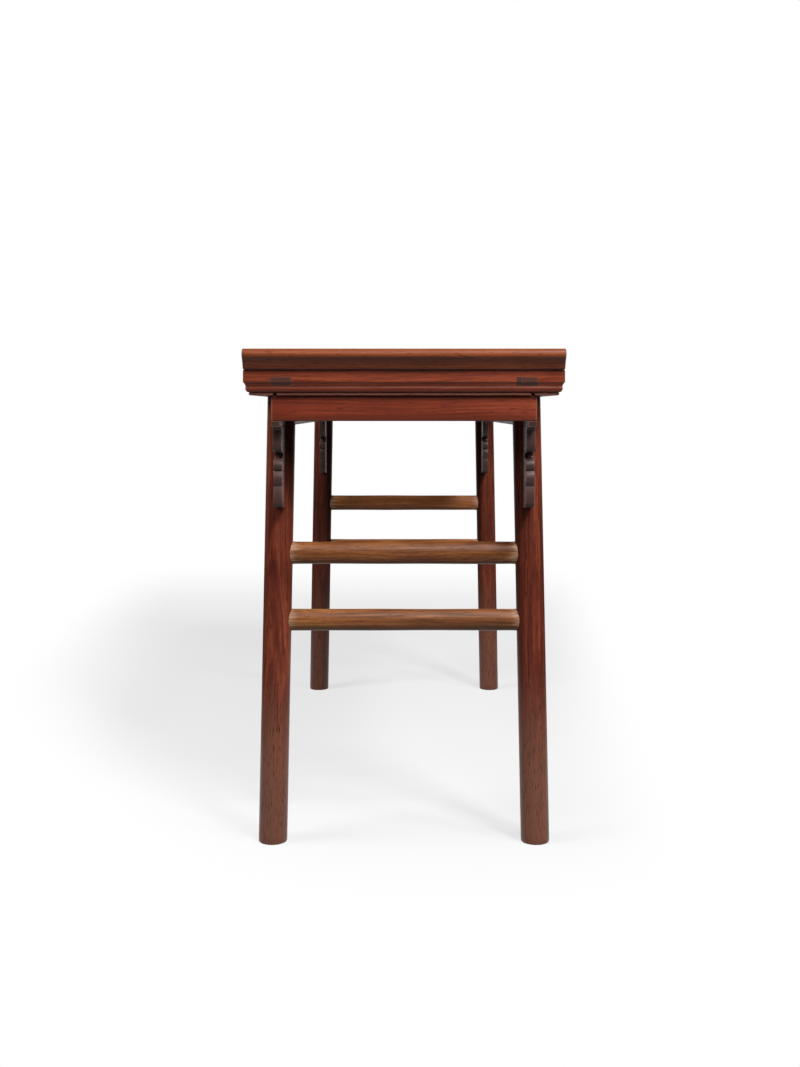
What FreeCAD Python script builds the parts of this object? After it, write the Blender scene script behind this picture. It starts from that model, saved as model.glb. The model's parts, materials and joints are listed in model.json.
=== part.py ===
"""A recessed-leg altar table with everted end flanges, in millimetres: X along the table, Y across it, Z up,
the origin on the floor below its middle. Front is -Y, left is -X."""

import FreeCAD, Part
import Sketcher
import math
import os

# Driving sizes of the table, each with the name that its sheet cell carries
SIZES = {
    # framed top
    "top_length": 1397,
    "top_width": 515,
    "top_height": 794,
    "frame_depth": 41,
    "frame_member": 88,
    "moulding_inset": 10,
    "edge_round": 2,
    # through tenons of the long members, seen at both ends
    "tenon_width": 34,
    "tenon_thick": 14.4,
    "tenon_from_side": 60,
    "tenon_from_top": 19.5,
    "wedge_width": 7.5,
    "wedge_tip": 3,
    "wedge_length": 30,
    # floating panel, its tongue and its dovetailed battens
    "panel_thick": 14,
    "tongue_thick": 5,
    "tongue_reach": 8,
    "tongue_from_top": 5,
    "batten_width": 36,
    "batten_depth": 23,
    "dovetail_neck": 20,
    "dovetail_head": 25,
    "dovetail_tall": 5,
    "batten_tenon_width": 22,
    "batten_tenon_thick": 11,
    "batten_tenon_reach": 20,
    "batten_spacing": 400,
    # everted flanges
    "flange_reach": 19.5,
    "flange_rise": 33,
    "flange_foot": 46,
    "flange_tongue_thick": 10,
    "flange_tongue_tall": 8,
    "flange_tongue_length": 300,
    "flange_tongue_from_end": 24,
    # aprons under the frame
    "apron_set_in": 43,
    "end_apron_set_in": 15,
    "apron_thick": 14.6,
    "apron_depth": 51,
    "end_apron_depth": 41.5,
    "apron_round": 2,
    "apron_tongue_thick": 5,
    "apron_tongue_tall": 4,
    # round legs that lean out both ways, with the slot for the boards a little inside the axis
    "leg_diameter": 48.2,
    "leg_from_end": 133,
    "splay_angle": 1.03,
    "slot_off_axis": 2.9,
    "leg_tenon_width": 24,
    "leg_tenon_spread": 34,
    "leg_tenon_tall": 24,
    "foot_chamfer": 1.2,
    # cloud-head spandrels in the split leg heads
    "spandrel_reach": 98,
    "spandrel_drop": 136,
    "spandrel_tongue_thick": 5,
    "spandrel_tongue_tall": 5,
    # oval stretchers, a pair at each end
    "upper_stretcher_tall": 38.5,
    "lower_stretcher_tall": 37,
    "stretcher_deep": 27,
    "upper_stretcher_height": 486.5,
    "lower_stretcher_height": 373,
    "stretcher_tenon_tall": 22,
    "stretcher_tenon_deep": 12,
    "stretcher_tenon_past": 8,
    # clearances of joints, of scribed round faces, and the overrun of cuts
    "joint_gap": 0.1,
    "scribe_gap": 0.3,
    "overrun": 5,
}

# Places that follow from the driving sizes
PLACES = {
    "half_length": "dims.top_length / 2",
    "half_width": "dims.top_width / 2",
    "frame_bottom": "dims.top_height - dims.frame_depth",
    "panel_half_length": "half_length - dims.frame_member",
    "panel_half_width": "half_width - dims.frame_member",
    "panel_bottom": "dims.top_height - dims.panel_thick",
    "tongue_top": "dims.top_height - dims.tongue_from_top",
    "tenon_middle_y": "half_width - dims.tenon_from_side",
    "tenon_bottom": "dims.top_height - dims.tenon_from_top - dims.tenon_thick / 2",
    "tenon_top": "tenon_bottom + dims.tenon_thick",
    "batten_tenon_bottom": "panel_bottom - dims.batten_depth / 2 - dims.batten_tenon_thick / 2",
    "batten_tenon_top": "batten_tenon_bottom + dims.batten_tenon_thick",
    "apron_outer_x": "half_length - dims.end_apron_set_in",
    "apron_outer_y": "half_width - dims.apron_set_in",
    "apron_middle_x": "apron_outer_x - dims.apron_thick / 2",
    "apron_middle_y": "apron_outer_y - dims.apron_thick / 2",
    "apron_bottom": "frame_bottom - dims.apron_depth",
    "slot_bottom": "apron_bottom - dims.spandrel_drop",
    "slot_middle": "(slot_bottom + frame_bottom) / 2",
    "slot_half": "dims.apron_thick / 2 + dims.joint_gap",
    "lean": "tan(dims.splay_angle)",
    "tilt": "atan(sqrt(2) * lean)",
    "foot_x": "half_length - dims.leg_from_end + slot_middle * lean",
    "foot_y": "apron_middle_y + dims.slot_off_axis + slot_middle * lean",
}

# Moulded edge from its foot up: in from the face as a share of moulding_inset, height as a share of
# frame_depth, and the bulge of the stretch that arrives there as a share of moulding_inset
MOULDING_SHARES = (
    (0.93, 0, 0),
    (0.8, 0.087, 0),
    (0.92, 0.1, 0),
    (0.92, 0.115, 0),
    (0.66, 0.125, 0),
    (0.39, 0.335, 0.16),
    (0.36, 0.36, 0),
    (0, 0.515, -0.06),
)

# End flange from its outer foot over the roll to its inner toe: out from the end face as a share of
# flange_reach, height and bulge as shares of flange_rise
FLANGE_SHARES = (
    (0.15, 0, 0),
    (0.26, 0.06, 0),
    (0.84, 0.54, -0.035),
    (0.62, 1, 0.155),
)
FLANGE_HOLLOW_SHARE = 0.2
FLANGE_TOE_SHARE = 0.04

# One wing of the cloud-head board from the leg up to the apron: out from the leg axis and bulge as shares
# of spandrel_reach, down from the apron as a share of spandrel_drop
CLOUD_SHARES = (
    (0.29, 1, 0),
    (0.66, 0.985, 0.004),
    (0.785, 0.9, 0.033),
    (0.765, 0.72, 0.011),
    (0.765, 0.534, 0.048),
    (0.72, 0.386, 0.064),
    (0.615, 0.382, 0),
    (0.615, 0.32, -0.032),
    (0.785, 0.314, -0.005),
    (0.94, 0.21, 0.037),
    (0.935, 0.05, 0.006),
    (1, 0, -0.012),
)

# Radius of the crown and foot arcs of a stretcher's oval, as a share of half its depth
CROWN_ARC_SHARE = 0.78

SIDES = {"front": -1, "back": 1}
ENDS = {"left": -1, "right": 1}
BATTENS = {"panel_batten_1": -1, "panel_batten_2": 0, "panel_batten_3": 1}
STRETCHERS = {
    "upper": ("dims.upper_stretcher_height", "dims.upper_stretcher_tall"),
    "lower": ("dims.lower_stretcher_height", "dims.lower_stretcher_tall"),
}

doc = FreeCAD.newDocument("altar_table")
nodes = []


def fill_sheet(name, cells, formula=""):
    """A sheet with a row for each size: its words, its value and its alias."""
    sheet = doc.addObject("Spreadsheet::Sheet", name)
    for row, (alias, value) in enumerate(cells.items(), start=1):
        sheet.set(f"A{row}", alias.replace("_", " "))
        sheet.set(f"B{row}", f"{formula}{value}")
        sheet.setAlias(f"B{row}", alias)
    return sheet


dims = fill_sheet("dims", SIZES)
places = fill_sheet("places", PLACES, "=")
doc.recompute()


def number(expression):
    """The value of an expression in the sheets' names."""
    return float(dims.evalExpression(expression))


def new_body(label):
    """An empty body whose label names its file."""
    body = doc.addObject("PartDesign::Body", label)
    body.Label = label
    nodes.append(body)
    return body


def new_sketch(body, plane, offset="0"):
    """A sketch on an origin plane of the body, or parallel to it at an offset along its normal."""
    sketch = body.newObject("Sketcher::SketchObject", f"{body.Name}_{plane}_sketch")
    origin = next(item for item in body.Origin.OriginFeatures if item.Role == f"{plane}_Plane")
    sketch.AttachmentSupport = [(origin, "")]
    sketch.MapMode = "FlatFace"
    sketch.setExpression("AttachmentOffset.Base.z", offset)
    return sketch


def bind(sketch, constraint, expression):
    """Adds a constraint to the sketch and ties its size to the expression."""
    index = sketch.addConstraint(constraint)
    sketch.setExpression(f"Constraints[{index}]", expression)


def pin_point(sketch, geometry, point, x, y):
    """Ties a point of the sketch to its place from the sketch's origin."""
    bind(sketch, Sketcher.Constraint("DistanceX", -1, 1, geometry, point, number(x)), x)
    bind(sketch, Sketcher.Constraint("DistanceY", -1, 1, geometry, point, number(y)), y)


def bulged_arc(start, end, bulge):
    """The arc from start to end that stands off its chord by the bulge, to the right of the way there."""
    chord = end - start
    right = FreeCAD.Vector(chord.y, -chord.x).normalize()
    radius = chord.Length ** 2 / 8 / abs(bulge) + abs(bulge) / 2
    centre = (start + end) / 2 + right * (bulge - math.copysign(radius, bulge))
    first, last = (start, end) if bulge > 0 else (end, start)
    angles = [math.atan2(spot.y - centre.y, spot.x - centre.x) for spot in (first, last)]
    if angles[1] < angles[0]:
        angles[1] += 2 * math.pi
    return Part.ArcOfCircle(Part.Circle(centre, FreeCAD.Vector(0, 0, 1), radius), *angles)


def outline(sketch, points, side=1):
    """A closed outline through points of (x, y, bulge), each an expression, where the bulge is that of the
    stretch that arrives at the point, outward on a counter-clockwise outline, or "0" for a straight one.
    Side -1 mirrors it in the sketch's upright axis."""
    corners = [(f"{side} * ({x})", y) for x, y, _ in points]
    spots = [FreeCAD.Vector(number(x), number(y)) for x, y in corners]
    first = sketch.GeometryCount
    ends = []
    for index, (_, _, bulge) in enumerate(points):
        amount = side * number(bulge)
        start, end = spots[index - 1], spots[index]
        if amount:
            arc = sketch.addGeometry(bulged_arc(start, end, amount), False)
            (x0, y0), (x1, y1) = corners[index - 1], corners[index]
            square = f"((({x1}) - ({x0}))^2 + (({y1}) - ({y0}))^2)"
            radius = f"{square} / 8 / abs({bulge}) + abs({bulge}) / 2"
            bind(sketch, Sketcher.Constraint("Radius", arc, number(radius)), radius)
        else:
            sketch.addGeometry(Part.LineSegment(start, end), False)
        ends.append((2, 1) if amount >= 0 else (1, 2))
    for index in range(len(points)):
        following = (index + 1) % len(points)
        here, there = ends[index][0], ends[following][1]
        sketch.addConstraint(Sketcher.Constraint("Coincident", first + index, here, first + following, there))
        pin_point(sketch, first + index, here, *corners[index])


def rectangle(sketch, x0, x1, y0, y1, side=1):
    """A rectangle between two x and two y expressions."""
    outline(sketch, [(x0, y0, "0"), (x1, y0, "0"), (x1, y1, "0"), (x0, y1, "0")], side)


def circle(sketch, x, y, radius):
    """A circle about a point."""
    centre = FreeCAD.Vector(number(x), number(y))
    index = sketch.addGeometry(Part.Circle(centre, FreeCAD.Vector(0, 0, 1), number(radius)), False)
    pin_point(sketch, index, 3, x, y)
    bind(sketch, Sketcher.Constraint("Radius", index, number(radius)), radius)


def oval(sketch, x, y, deep, tall):
    """An upright oval about a point, of two flank arcs that run smoothly into a crown and a foot arc."""
    flank, crown = f"({deep} / 2)", f"({tall} / 2)"
    tight = f"({flank} * {CROWN_ARC_SHARE})"
    wide = f"(({flank}^2 + {crown}^2 - 2 * {crown} * {tight}) / 2 / ({flank} - {tight}))"
    out = f"({tight} * ({wide} - {flank}) / ({wide} - {tight}))"
    up = f"(({crown} - {tight}) * {wide} / ({wide} - {tight}))"
    corners = [
        (f"{x} + {out}", f"{y} - {up}", f"{crown} - {up}"),
        (f"{x} + {out}", f"{y} + {up}", f"{flank} - {out}"),
        (f"{x} - {out}", f"{y} + {up}", f"{crown} - {up}"),
        (f"{x} - {out}", f"{y} - {up}", f"{flank} - {out}"),
    ]
    outline(sketch, corners)


def pad(body, sketch, length, symmetric=False, reverse=False):
    """Material from a sketch, over a length along its normal, or half each way."""
    feature = body.newObject("PartDesign::Pad", f"{body.Name}_pad")
    feature.Profile = sketch
    feature.setExpression("Length", length)
    feature.SideType = "Symmetric" if symmetric else "One side"
    feature.Reversed = reverse
    return feature


def check_cut(body, feature):
    """Stops the build where a cut takes nothing away."""
    doc.recompute()
    if feature.Shape.isNull() or not feature.Shape.Volume < feature.BaseFeature.Shape.Volume:
        raise RuntimeError(f"{feature.Name} cuts nothing from {body.Label}")


def pocket(body, sketch, length=None, symmetric=False, reverse=False):
    """A cut from a sketch, over a length against its normal, half each way, or right through."""
    feature = body.newObject("PartDesign::Pocket", f"{body.Name}_pocket")
    feature.Profile = sketch
    feature.SideType = "Symmetric" if symmetric else "One side"
    feature.Reversed = reverse
    if length is None:
        feature.Type = "ThroughAll"
    else:
        feature.setExpression("Length", length)
    check_cut(body, feature)


def leg_x(height):
    """How far from the middle a leg's axis stands along the table at a height."""
    return f"(places.foot_x - ({height}) * places.lean)"


def leg_y(height):
    """How far from the middle a leg's axis stands across the table at a height."""
    return f"(places.foot_y - ({height}) * places.lean)"


def leg_section(body, end, side, radius):
    """A circle square to a leg's axis, just under the floor, and the length of axis up past the frame's foot."""
    below = "-dims.overrun"
    sketch = new_sketch(body, "XY", below)
    across = FreeCAD.Vector(side, -end, 0)
    sketch.AttachmentOffset = FreeCAD.Placement(
        FreeCAD.Vector(0, 0, number(below)), FreeCAD.Rotation(across, number("places.tilt"))
    )
    sketch.setExpression("AttachmentOffset.Base.x", f"{end} * {leg_x(below)}")
    sketch.setExpression("AttachmentOffset.Base.y", f"{side} * {leg_y(below)}")
    sketch.setExpression("AttachmentOffset.Rotation.Angle", "places.tilt")
    circle(sketch, "0", "0", radius)
    return sketch, "(places.frame_bottom + 2 * dims.overrun) / cos(places.tilt)"


def moulded_section(face):
    """Points of a frame member's section from its inner foot round the moulded edge to its inner top."""
    inner = f"{face} - dims.frame_member"
    points = [(inner, "places.frame_bottom", "0")]
    for inset_share, height_share, bulge_share in MOULDING_SHARES:
        x = f"{face} - dims.moulding_inset * {inset_share}"
        y = f"places.frame_bottom + dims.frame_depth * {height_share}"
        points.append((x, y, f"dims.moulding_inset * {bulge_share}"))
    points.append((face, "dims.top_height - dims.edge_round", "0"))
    rounding = f"dims.edge_round * {1 - math.cos(math.pi / 4)}"
    points.append((f"{face} - dims.edge_round", "dims.top_height", rounding))
    points.append((inner, "dims.top_height", "0"))
    return points


def cut_to_moulding(body, ends):
    """Trims what stands out of the end faces to the moulded edge of the end members."""
    sketch = new_sketch(body, "XZ")
    beyond = "places.half_length + dims.overrun"
    edge = moulded_section("places.half_length")[1:-1]
    closing = [
        ("places.half_length - dims.edge_round", "dims.top_height + dims.overrun", "0"),
        (beyond, "dims.top_height + dims.overrun", "0"),
        (beyond, "places.frame_bottom", "0"),
    ]
    for end in ends:
        outline(sketch, edge + closing, end)
    pocket(body, sketch, symmetric=True)


def cut_mitres(body, corner_x, corner_y, width, along_x, sides):
    """Cuts a member's two ends at 45 degrees on the corner lines of a rectangular ring."""
    near_x = f"{corner_x} - {width} - dims.overrun"
    near_y = f"{corner_y} - {width} - dims.overrun"
    far_x = f"{corner_x} + dims.overrun"
    far_y = f"{corner_y} + dims.overrun"
    third = (far_x, near_y) if along_x else (near_x, far_y)
    sketch = new_sketch(body, "XY")
    for x_side, y_side in sides:
        corners = [(near_x, near_y), third, (far_x, far_y)]
        outline(sketch, [(x, f"{y_side} * ({y})", "0") for x, y in corners], x_side)
    pocket(body, sketch, reverse=True)


def frame_rail(label, side):
    """A long member of the top frame, mitred, with a through tenon at each end."""
    body = new_body(label)
    section = new_sketch(body, "YZ")
    outline(section, moulded_section("places.half_width"), side)
    pad(body, section, "dims.top_length", symmetric=True)
    cut_mitres(
        body, "places.half_length", "places.half_width", "dims.frame_member", True, [(-1, side), (1, side)]
    )
    tenon = new_sketch(body, "YZ")
    tenon_sides = [f"places.tenon_middle_y {sign} dims.tenon_width / 2" for sign in "-+"]
    rectangle(tenon, *tenon_sides, "places.tenon_bottom", "places.tenon_top", side)
    pad(body, tenon, "dims.top_length", symmetric=True)
    cut_to_moulding(body, (-1, 1))
    wedge_slot = new_sketch(body, "XY", "places.tenon_bottom - dims.joint_gap")
    outline(wedge_slot, wedge_outline(side, "0"), side)
    pocket(body, wedge_slot, "dims.tenon_thick + 2 * dims.joint_gap", reverse=True)

    groove = new_sketch(body, "YZ")
    panel_groove(groove, "places.panel_half_width", side)
    pocket(body, groove, symmetric=True)
    batten_mortises = new_sketch(body, "XZ")
    for step in BATTENS.values():
        rectangle(
            batten_mortises,
            f"dims.batten_spacing * {step} - dims.batten_tenon_width / 2 - dims.joint_gap",
            f"dims.batten_spacing * {step} + dims.batten_tenon_width / 2 + dims.joint_gap",
            "places.batten_tenon_bottom - dims.joint_gap",
            "places.batten_tenon_top + dims.joint_gap",
        )
    reach = "places.panel_half_width + dims.batten_tenon_reach + dims.joint_gap"
    pocket(body, batten_mortises, reach, reverse=side < 0)

    leg_mortises = new_sketch(body, "XY")
    for end in ENDS.values():
        for face in (-1, 1):
            near = f"{side} * places.apron_middle_y + {face} * (places.slot_half - dims.joint_gap)"
            far = f"{side} * places.apron_middle_y + {face} * (dims.leg_tenon_spread / 2 + dims.joint_gap)"
            half = "(dims.leg_tenon_width / 2 + dims.joint_gap)"
            centre = leg_x("places.frame_bottom")
            rectangle(leg_mortises, f"{centre} - {half}", f"{centre} + {half}", near, far, end)
    pocket(body, leg_mortises, "places.frame_bottom + dims.leg_tenon_tall + dims.joint_gap", reverse=True)
    apron_groove(body, side, along_x=True)


def wedge_outline(side, gap):
    """The kerf of a wedge at the inner edge of a through tenon, narrowing inwards from the end face."""
    inner = f"{side} * (places.tenon_middle_y - dims.tenon_width / 2 + {gap})"
    mouth = f"{side} * (places.tenon_middle_y - dims.tenon_width / 2 + dims.wedge_width - {gap})"
    tip = f"{side} * (places.tenon_middle_y - dims.tenon_width / 2 + dims.wedge_tip - {gap})"
    deep = "places.half_length - dims.wedge_length"
    points = [(deep, inner), ("places.half_length", inner), ("places.half_length", mouth), (deep, tip)]
    return [(x, y, "0") for x, y in points]


def panel_groove(sketch, edge, side):
    """The groove in a frame member's inner face that takes the panel's tongue."""
    rectangle(
        sketch,
        f"{edge} - dims.overrun",
        f"{edge} + dims.tongue_reach + dims.joint_gap",
        "places.tongue_top - dims.tongue_thick - dims.joint_gap",
        "places.tongue_top + dims.joint_gap",
        side,
    )


def apron_groove(body, side, along_x):
    """The shallow groove under a frame member that takes an apron's tongue."""
    sketch = new_sketch(body, "XY")
    half = "(dims.apron_tongue_thick / 2 + dims.joint_gap)"
    if along_x:
        middle = f"{side} * places.apron_middle_y"
        rectangle(sketch, "-places.half_length", "places.half_length", f"{middle} - {half}", f"{middle} + {half}")
    else:
        middle = f"{side} * places.apron_middle_x"
        rectangle(sketch, f"{middle} - {half}", f"{middle} + {half}", "-places.half_width", "places.half_width")
    pocket(body, sketch, "places.frame_bottom + dims.apron_tongue_tall + dims.joint_gap", reverse=True)


def frame_end(label, end):
    """A short member of the top frame, mitred, mortised through for the long members' tenons."""
    body = new_body(label)
    section = new_sketch(body, "XZ")
    outline(section, moulded_section("places.half_length"), end)
    pad(body, section, "dims.top_width", symmetric=True)
    cut_mitres(
        body, "places.half_length", "places.half_width", "dims.frame_member", False, [(end, -1), (end, 1)]
    )
    mortises = new_sketch(body, "YZ")
    for side in SIDES.values():
        rectangle(
            mortises,
            "places.tenon_middle_y - dims.tenon_width / 2 - dims.joint_gap",
            "places.tenon_middle_y + dims.tenon_width / 2 + dims.joint_gap",
            "places.tenon_bottom - dims.joint_gap",
            "places.tenon_top + dims.joint_gap",
            side,
        )
    pocket(body, mortises, reverse=end > 0)
    groove = new_sketch(body, "XZ")
    panel_groove(groove, "places.panel_half_length", end)
    pocket(body, groove, symmetric=True)
    seat = new_sketch(body, "XY", "dims.top_height - dims.flange_tongue_tall - dims.joint_gap")
    rectangle(seat, *flange_tongue_sides("dims.joint_gap"), *flange_tongue_ends("dims.joint_gap"), end)
    pocket(body, seat, reverse=True)
    apron_groove(body, end, along_x=False)
    for side in SIDES.values():
        apron_groove(body, side, along_x=True)


def flange_tongue_sides(gap):
    """The two faces of a flange's tongue along the table, grown by a gap."""
    middle = "places.half_length - dims.flange_tongue_from_end"
    half = f"(dims.flange_tongue_thick / 2 + {gap})"
    return f"{middle} - {half}", f"{middle} + {half}"


def flange_tongue_ends(gap):
    """The two ends of a flange's tongue across the table, grown by a gap."""
    half = f"(dims.flange_tongue_length / 2 + {gap})"
    return f"-{half}", half


def end_flange(label, end):
    """An everted flange: a hollow flare under a half-round roll, and a long hollow down to the top."""
    body = new_body(label)
    section = new_sketch(body, "XZ")
    points = []
    for out_share, height_share, bulge_share in FLANGE_SHARES:
        x = f"places.half_length + dims.flange_reach * {out_share}"
        y = f"dims.top_height + dims.flange_rise * {height_share}"
        points.append((x, y, f"dims.flange_rise * {bulge_share}"))
    toe = "places.half_length - dims.flange_foot"
    toe_top = f"dims.top_height + dims.flange_rise * {FLANGE_TOE_SHARE}"
    points.append((toe, toe_top, f"-dims.flange_rise * {FLANGE_HOLLOW_SHARE}"))
    points.append((toe, "dims.top_height", "0"))
    outline(section, points, end)
    pad(body, section, "dims.top_width", symmetric=True)
    tongue = new_sketch(body, "XY", "dims.top_height - dims.flange_tongue_tall")
    rectangle(tongue, *flange_tongue_sides("0"), *flange_tongue_ends("0"), end)
    pad(body, tongue, "dims.flange_tongue_tall + dims.flange_tongue_tall / 2")


def top_panel(label):
    """The floating panel, flush with the frame, tongued all round, with dovetail grooves below."""
    body = new_body(label)
    board = new_sketch(body, "XY", "places.panel_bottom")
    half_x = "(places.panel_half_length - dims.joint_gap)"
    half_y = "(places.panel_half_width - dims.joint_gap)"
    rectangle(board, f"-{half_x}", half_x, f"-{half_y}", half_y)
    pad(body, board, "dims.panel_thick")
    tongue = new_sketch(body, "XY", "places.tongue_top - dims.tongue_thick")
    tongue_x = "(places.panel_half_length + dims.tongue_reach)"
    tongue_y = "(places.panel_half_width + dims.tongue_reach)"
    rectangle(tongue, f"-{tongue_x}", tongue_x, f"-{tongue_y}", tongue_y)
    pad(body, tongue, "dims.tongue_thick")
    grooves = new_sketch(body, "XZ")
    for step in BATTENS.values():
        outline(grooves, dovetail(step, "dims.joint_gap"))
    pocket(body, grooves, symmetric=True)


def dovetail(step, gap):
    """The dovetail between a batten and the panel, standing up from the panel's underside."""
    middle = f"dims.batten_spacing * {step}"
    neck = f"(dims.dovetail_neck / 2 + {gap})"
    head = f"(dims.dovetail_head / 2 + {gap})"
    foot = f"places.panel_bottom - {gap}"
    crown = f"places.panel_bottom + dims.dovetail_tall + {gap}"
    return [
        (f"{middle} - {neck}", foot, "0"),
        (f"{middle} + {neck}", foot, "0"),
        (f"{middle} + {head}", crown, "0"),
        (f"{middle} - {head}", crown, "0"),
    ]


def panel_batten(label, step):
    """A transverse batten dovetailed under the panel and tenoned into both long members."""
    body = new_body(label)
    middle = f"dims.batten_spacing * {step}"
    bar = new_sketch(body, "XZ")
    shoulder = "dims.batten_width / 2"
    foot = "places.panel_bottom - dims.batten_depth"
    neck, crown_right = dovetail(step, "0")[1:3]
    crown_left, neck_left = dovetail(step, "0")[3], dovetail(step, "0")[0]
    outline(
        bar,
        [
            (f"{middle} - {shoulder}", foot, "0"),
            (f"{middle} + {shoulder}", foot, "0"),
            (f"{middle} + {shoulder}", "places.panel_bottom", "0"),
            neck,
            crown_right,
            crown_left,
            neck_left,
            (f"{middle} - {shoulder}", "places.panel_bottom", "0"),
        ],
    )
    pad(body, bar, "2 * (places.panel_half_width - dims.joint_gap)", symmetric=True)
    tenon = new_sketch(body, "XZ")
    half = "dims.batten_tenon_width / 2"
    levels = ("places.batten_tenon_bottom", "places.batten_tenon_top")
    rectangle(tenon, f"{middle} - {half}", f"{middle} + {half}", *levels)
    pad(body, tenon, "2 * (places.panel_half_width + dims.batten_tenon_reach)", symmetric=True)


def apron_section(outer, depth):
    """Points of an apron's section: rounded lower edges and a tongue on top."""
    inner = f"{outer} - dims.apron_thick"
    bottom = f"places.frame_bottom - {depth}"
    rounding = f"dims.apron_round * {1 - math.cos(math.pi / 4)}"
    middle = f"{outer} - dims.apron_thick / 2"
    half = "dims.apron_tongue_thick / 2"
    crown = "places.frame_bottom + dims.apron_tongue_tall"
    return [
        (f"{inner} + dims.apron_round", bottom, rounding),
        (f"{outer} - dims.apron_round", bottom, "0"),
        (outer, f"{bottom} + dims.apron_round", rounding),
        (outer, "places.frame_bottom", "0"),
        (f"{middle} + {half}", "places.frame_bottom", "0"),
        (f"{middle} + {half}", crown, "0"),
        (f"{middle} - {half}", crown, "0"),
        (f"{middle} - {half}", "places.frame_bottom", "0"),
        (inner, "places.frame_bottom", "0"),
        (inner, f"{bottom} + dims.apron_round", "0"),
    ]


def long_apron(label, side):
    """A long apron that runs through both leg heads, mitred to the end aprons and square below them."""
    body = new_body(label)
    section = new_sketch(body, "YZ")
    section_points = apron_section("places.apron_outer_y", "dims.apron_depth")
    outline(section, section_points, side)
    pad(body, section, "2 * places.apron_outer_x", symmetric=True)
    cut_mitres(
        body, "places.apron_outer_x", "places.apron_outer_y", "dims.apron_thick", True, [(-1, side), (1, side)]
    )
    square_ends = new_sketch(body, "YZ")
    inner = "places.apron_outer_y - dims.apron_thick"
    under_end_apron = "places.frame_bottom - dims.end_apron_depth - dims.joint_gap"
    rim = [("places.apron_outer_y", under_end_apron, "0"), (inner, under_end_apron, "0")]
    outline(square_ends, section_points[:3] + rim + section_points[-1:], side)
    pad(body, square_ends, "2 * places.apron_outer_x", symmetric=True)
    groove = new_sketch(body, "XY")
    middle = f"{side} * places.apron_middle_y"
    half = "(dims.spandrel_tongue_thick / 2 + dims.joint_gap)"
    for end in ENDS.values():
        rectangle(groove, *spandrel_tongue_ends("dims.joint_gap"), f"{middle} - {half}", f"{middle} + {half}", end)
    pocket(body, groove, "places.apron_bottom + dims.spandrel_tongue_tall + dims.joint_gap", reverse=True)


def spandrel_tongue_ends(gap):
    """The two ends along the table of the tongue on top of a spandrel, grown by a gap."""
    middle = "places.half_length - dims.leg_from_end"
    half = f"(dims.spandrel_reach / 2 + {gap})"
    return f"{middle} - {half}", f"{middle} + {half}"


def end_apron(label, end):
    """A short apron across the end, outside the legs."""
    body = new_body(label)
    section = new_sketch(body, "XZ")
    outline(section, apron_section("places.apron_outer_x", "dims.end_apron_depth"), end)
    pad(body, section, "2 * places.apron_outer_y", symmetric=True)
    cut_mitres(
        body, "places.apron_outer_x", "places.apron_outer_y", "dims.apron_thick", False, [(end, -1), (end, 1)]
    )


def spandrel(label, end, side):
    """A cloud-head board through the split leg head: a wing on each side and a tongue into the apron."""
    body = new_body(label)
    board = new_sketch(body, "XZ", f"{-side} * places.apron_middle_y")
    axis = "places.half_length - dims.leg_from_end"
    wing = []
    for out_share, drop_share, bulge_share in CLOUD_SHARES:
        y = f"places.apron_bottom - dims.spandrel_drop * {drop_share}"
        wing.append((f"dims.spandrel_reach * {out_share}", y, f"dims.spandrel_reach * {bulge_share}"))
    points = [(f"{axis} + {x}", y, bulge) for x, y, bulge in wing]
    arrivals = ["0"] + [bulge for _, _, bulge in reversed(wing[1:])]
    for (x, y, _), bulge in zip(reversed(wing), arrivals):
        points.append((f"{axis} - {x}", y, bulge))
    outline(board, points, end)
    pad(body, board, "dims.apron_thick", symmetric=True)
    tongue = new_sketch(body, "XY", "places.apron_bottom - dims.spandrel_tongue_tall")
    middle = f"{side} * places.apron_middle_y"
    half = "dims.spandrel_tongue_thick / 2"
    rectangle(tongue, *spandrel_tongue_ends("0"), f"{middle} - {half}", f"{middle} + {half}", end)
    pad(body, tongue, "2 * dims.spandrel_tongue_tall")


def leg(label, end, side):
    """A round leg, leaning out both ways, slotted at the head and tenoned into the frame."""
    body = new_body(label)
    section, length = leg_section(body, end, side, "dims.leg_diameter / 2")
    pad(body, section, length)
    ends = new_sketch(body, "XZ")
    rectangle(ends, "0", "places.half_length", "-2 * dims.overrun", "0", end)
    above = "places.frame_bottom + 2 * dims.overrun"
    rectangle(ends, "0", "places.half_length", "places.frame_bottom", above, end)
    pocket(body, ends, symmetric=True)
    bevel_foot(body)
    block = new_sketch(body, "XY", "places.frame_bottom")
    centre, half = leg_x("places.frame_bottom"), "dims.leg_tenon_width / 2"
    middle, spread = f"{side} * places.apron_middle_y", "dims.leg_tenon_spread / 2"
    rectangle(block, f"{centre} - {half}", f"{centre} + {half}", f"{middle} - {spread}", f"{middle} + {spread}", end)
    pad(body, block, "dims.leg_tenon_tall")
    slot = new_sketch(body, "YZ")
    rectangle(
        slot,
        f"{middle} - places.slot_half",
        f"{middle} + places.slot_half",
        "places.slot_bottom - dims.joint_gap",
        "places.frame_bottom + dims.leg_tenon_tall + dims.overrun",
    )
    pocket(body, slot, symmetric=True)
    for height, _ in STRETCHERS.values():
        mortise = new_sketch(body, "XZ")
        tenon_outline(mortise, end, height, "dims.joint_gap")
        reach = f"{leg_y(height)} + dims.stretcher_tenon_past + dims.joint_gap"
        pocket(body, mortise, reach, reverse=side < 0)


def bevel_foot(body):
    """A bevel round the foot of a leg, on the edges that lie in the floor."""
    trimmed = body.Tip
    edges = [
        f"Edge{index}"
        for index, edge in enumerate(trimmed.Shape.Edges, start=1)
        if edge.BoundBox.ZMax < number("dims.foot_chamfer") / 2
    ]
    bevel = body.newObject("PartDesign::Chamfer", f"{body.Name}_foot_bevel")
    bevel.Base = (trimmed, edges)
    bevel.setExpression("Size", "dims.foot_chamfer")
    check_cut(body, bevel)


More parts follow.
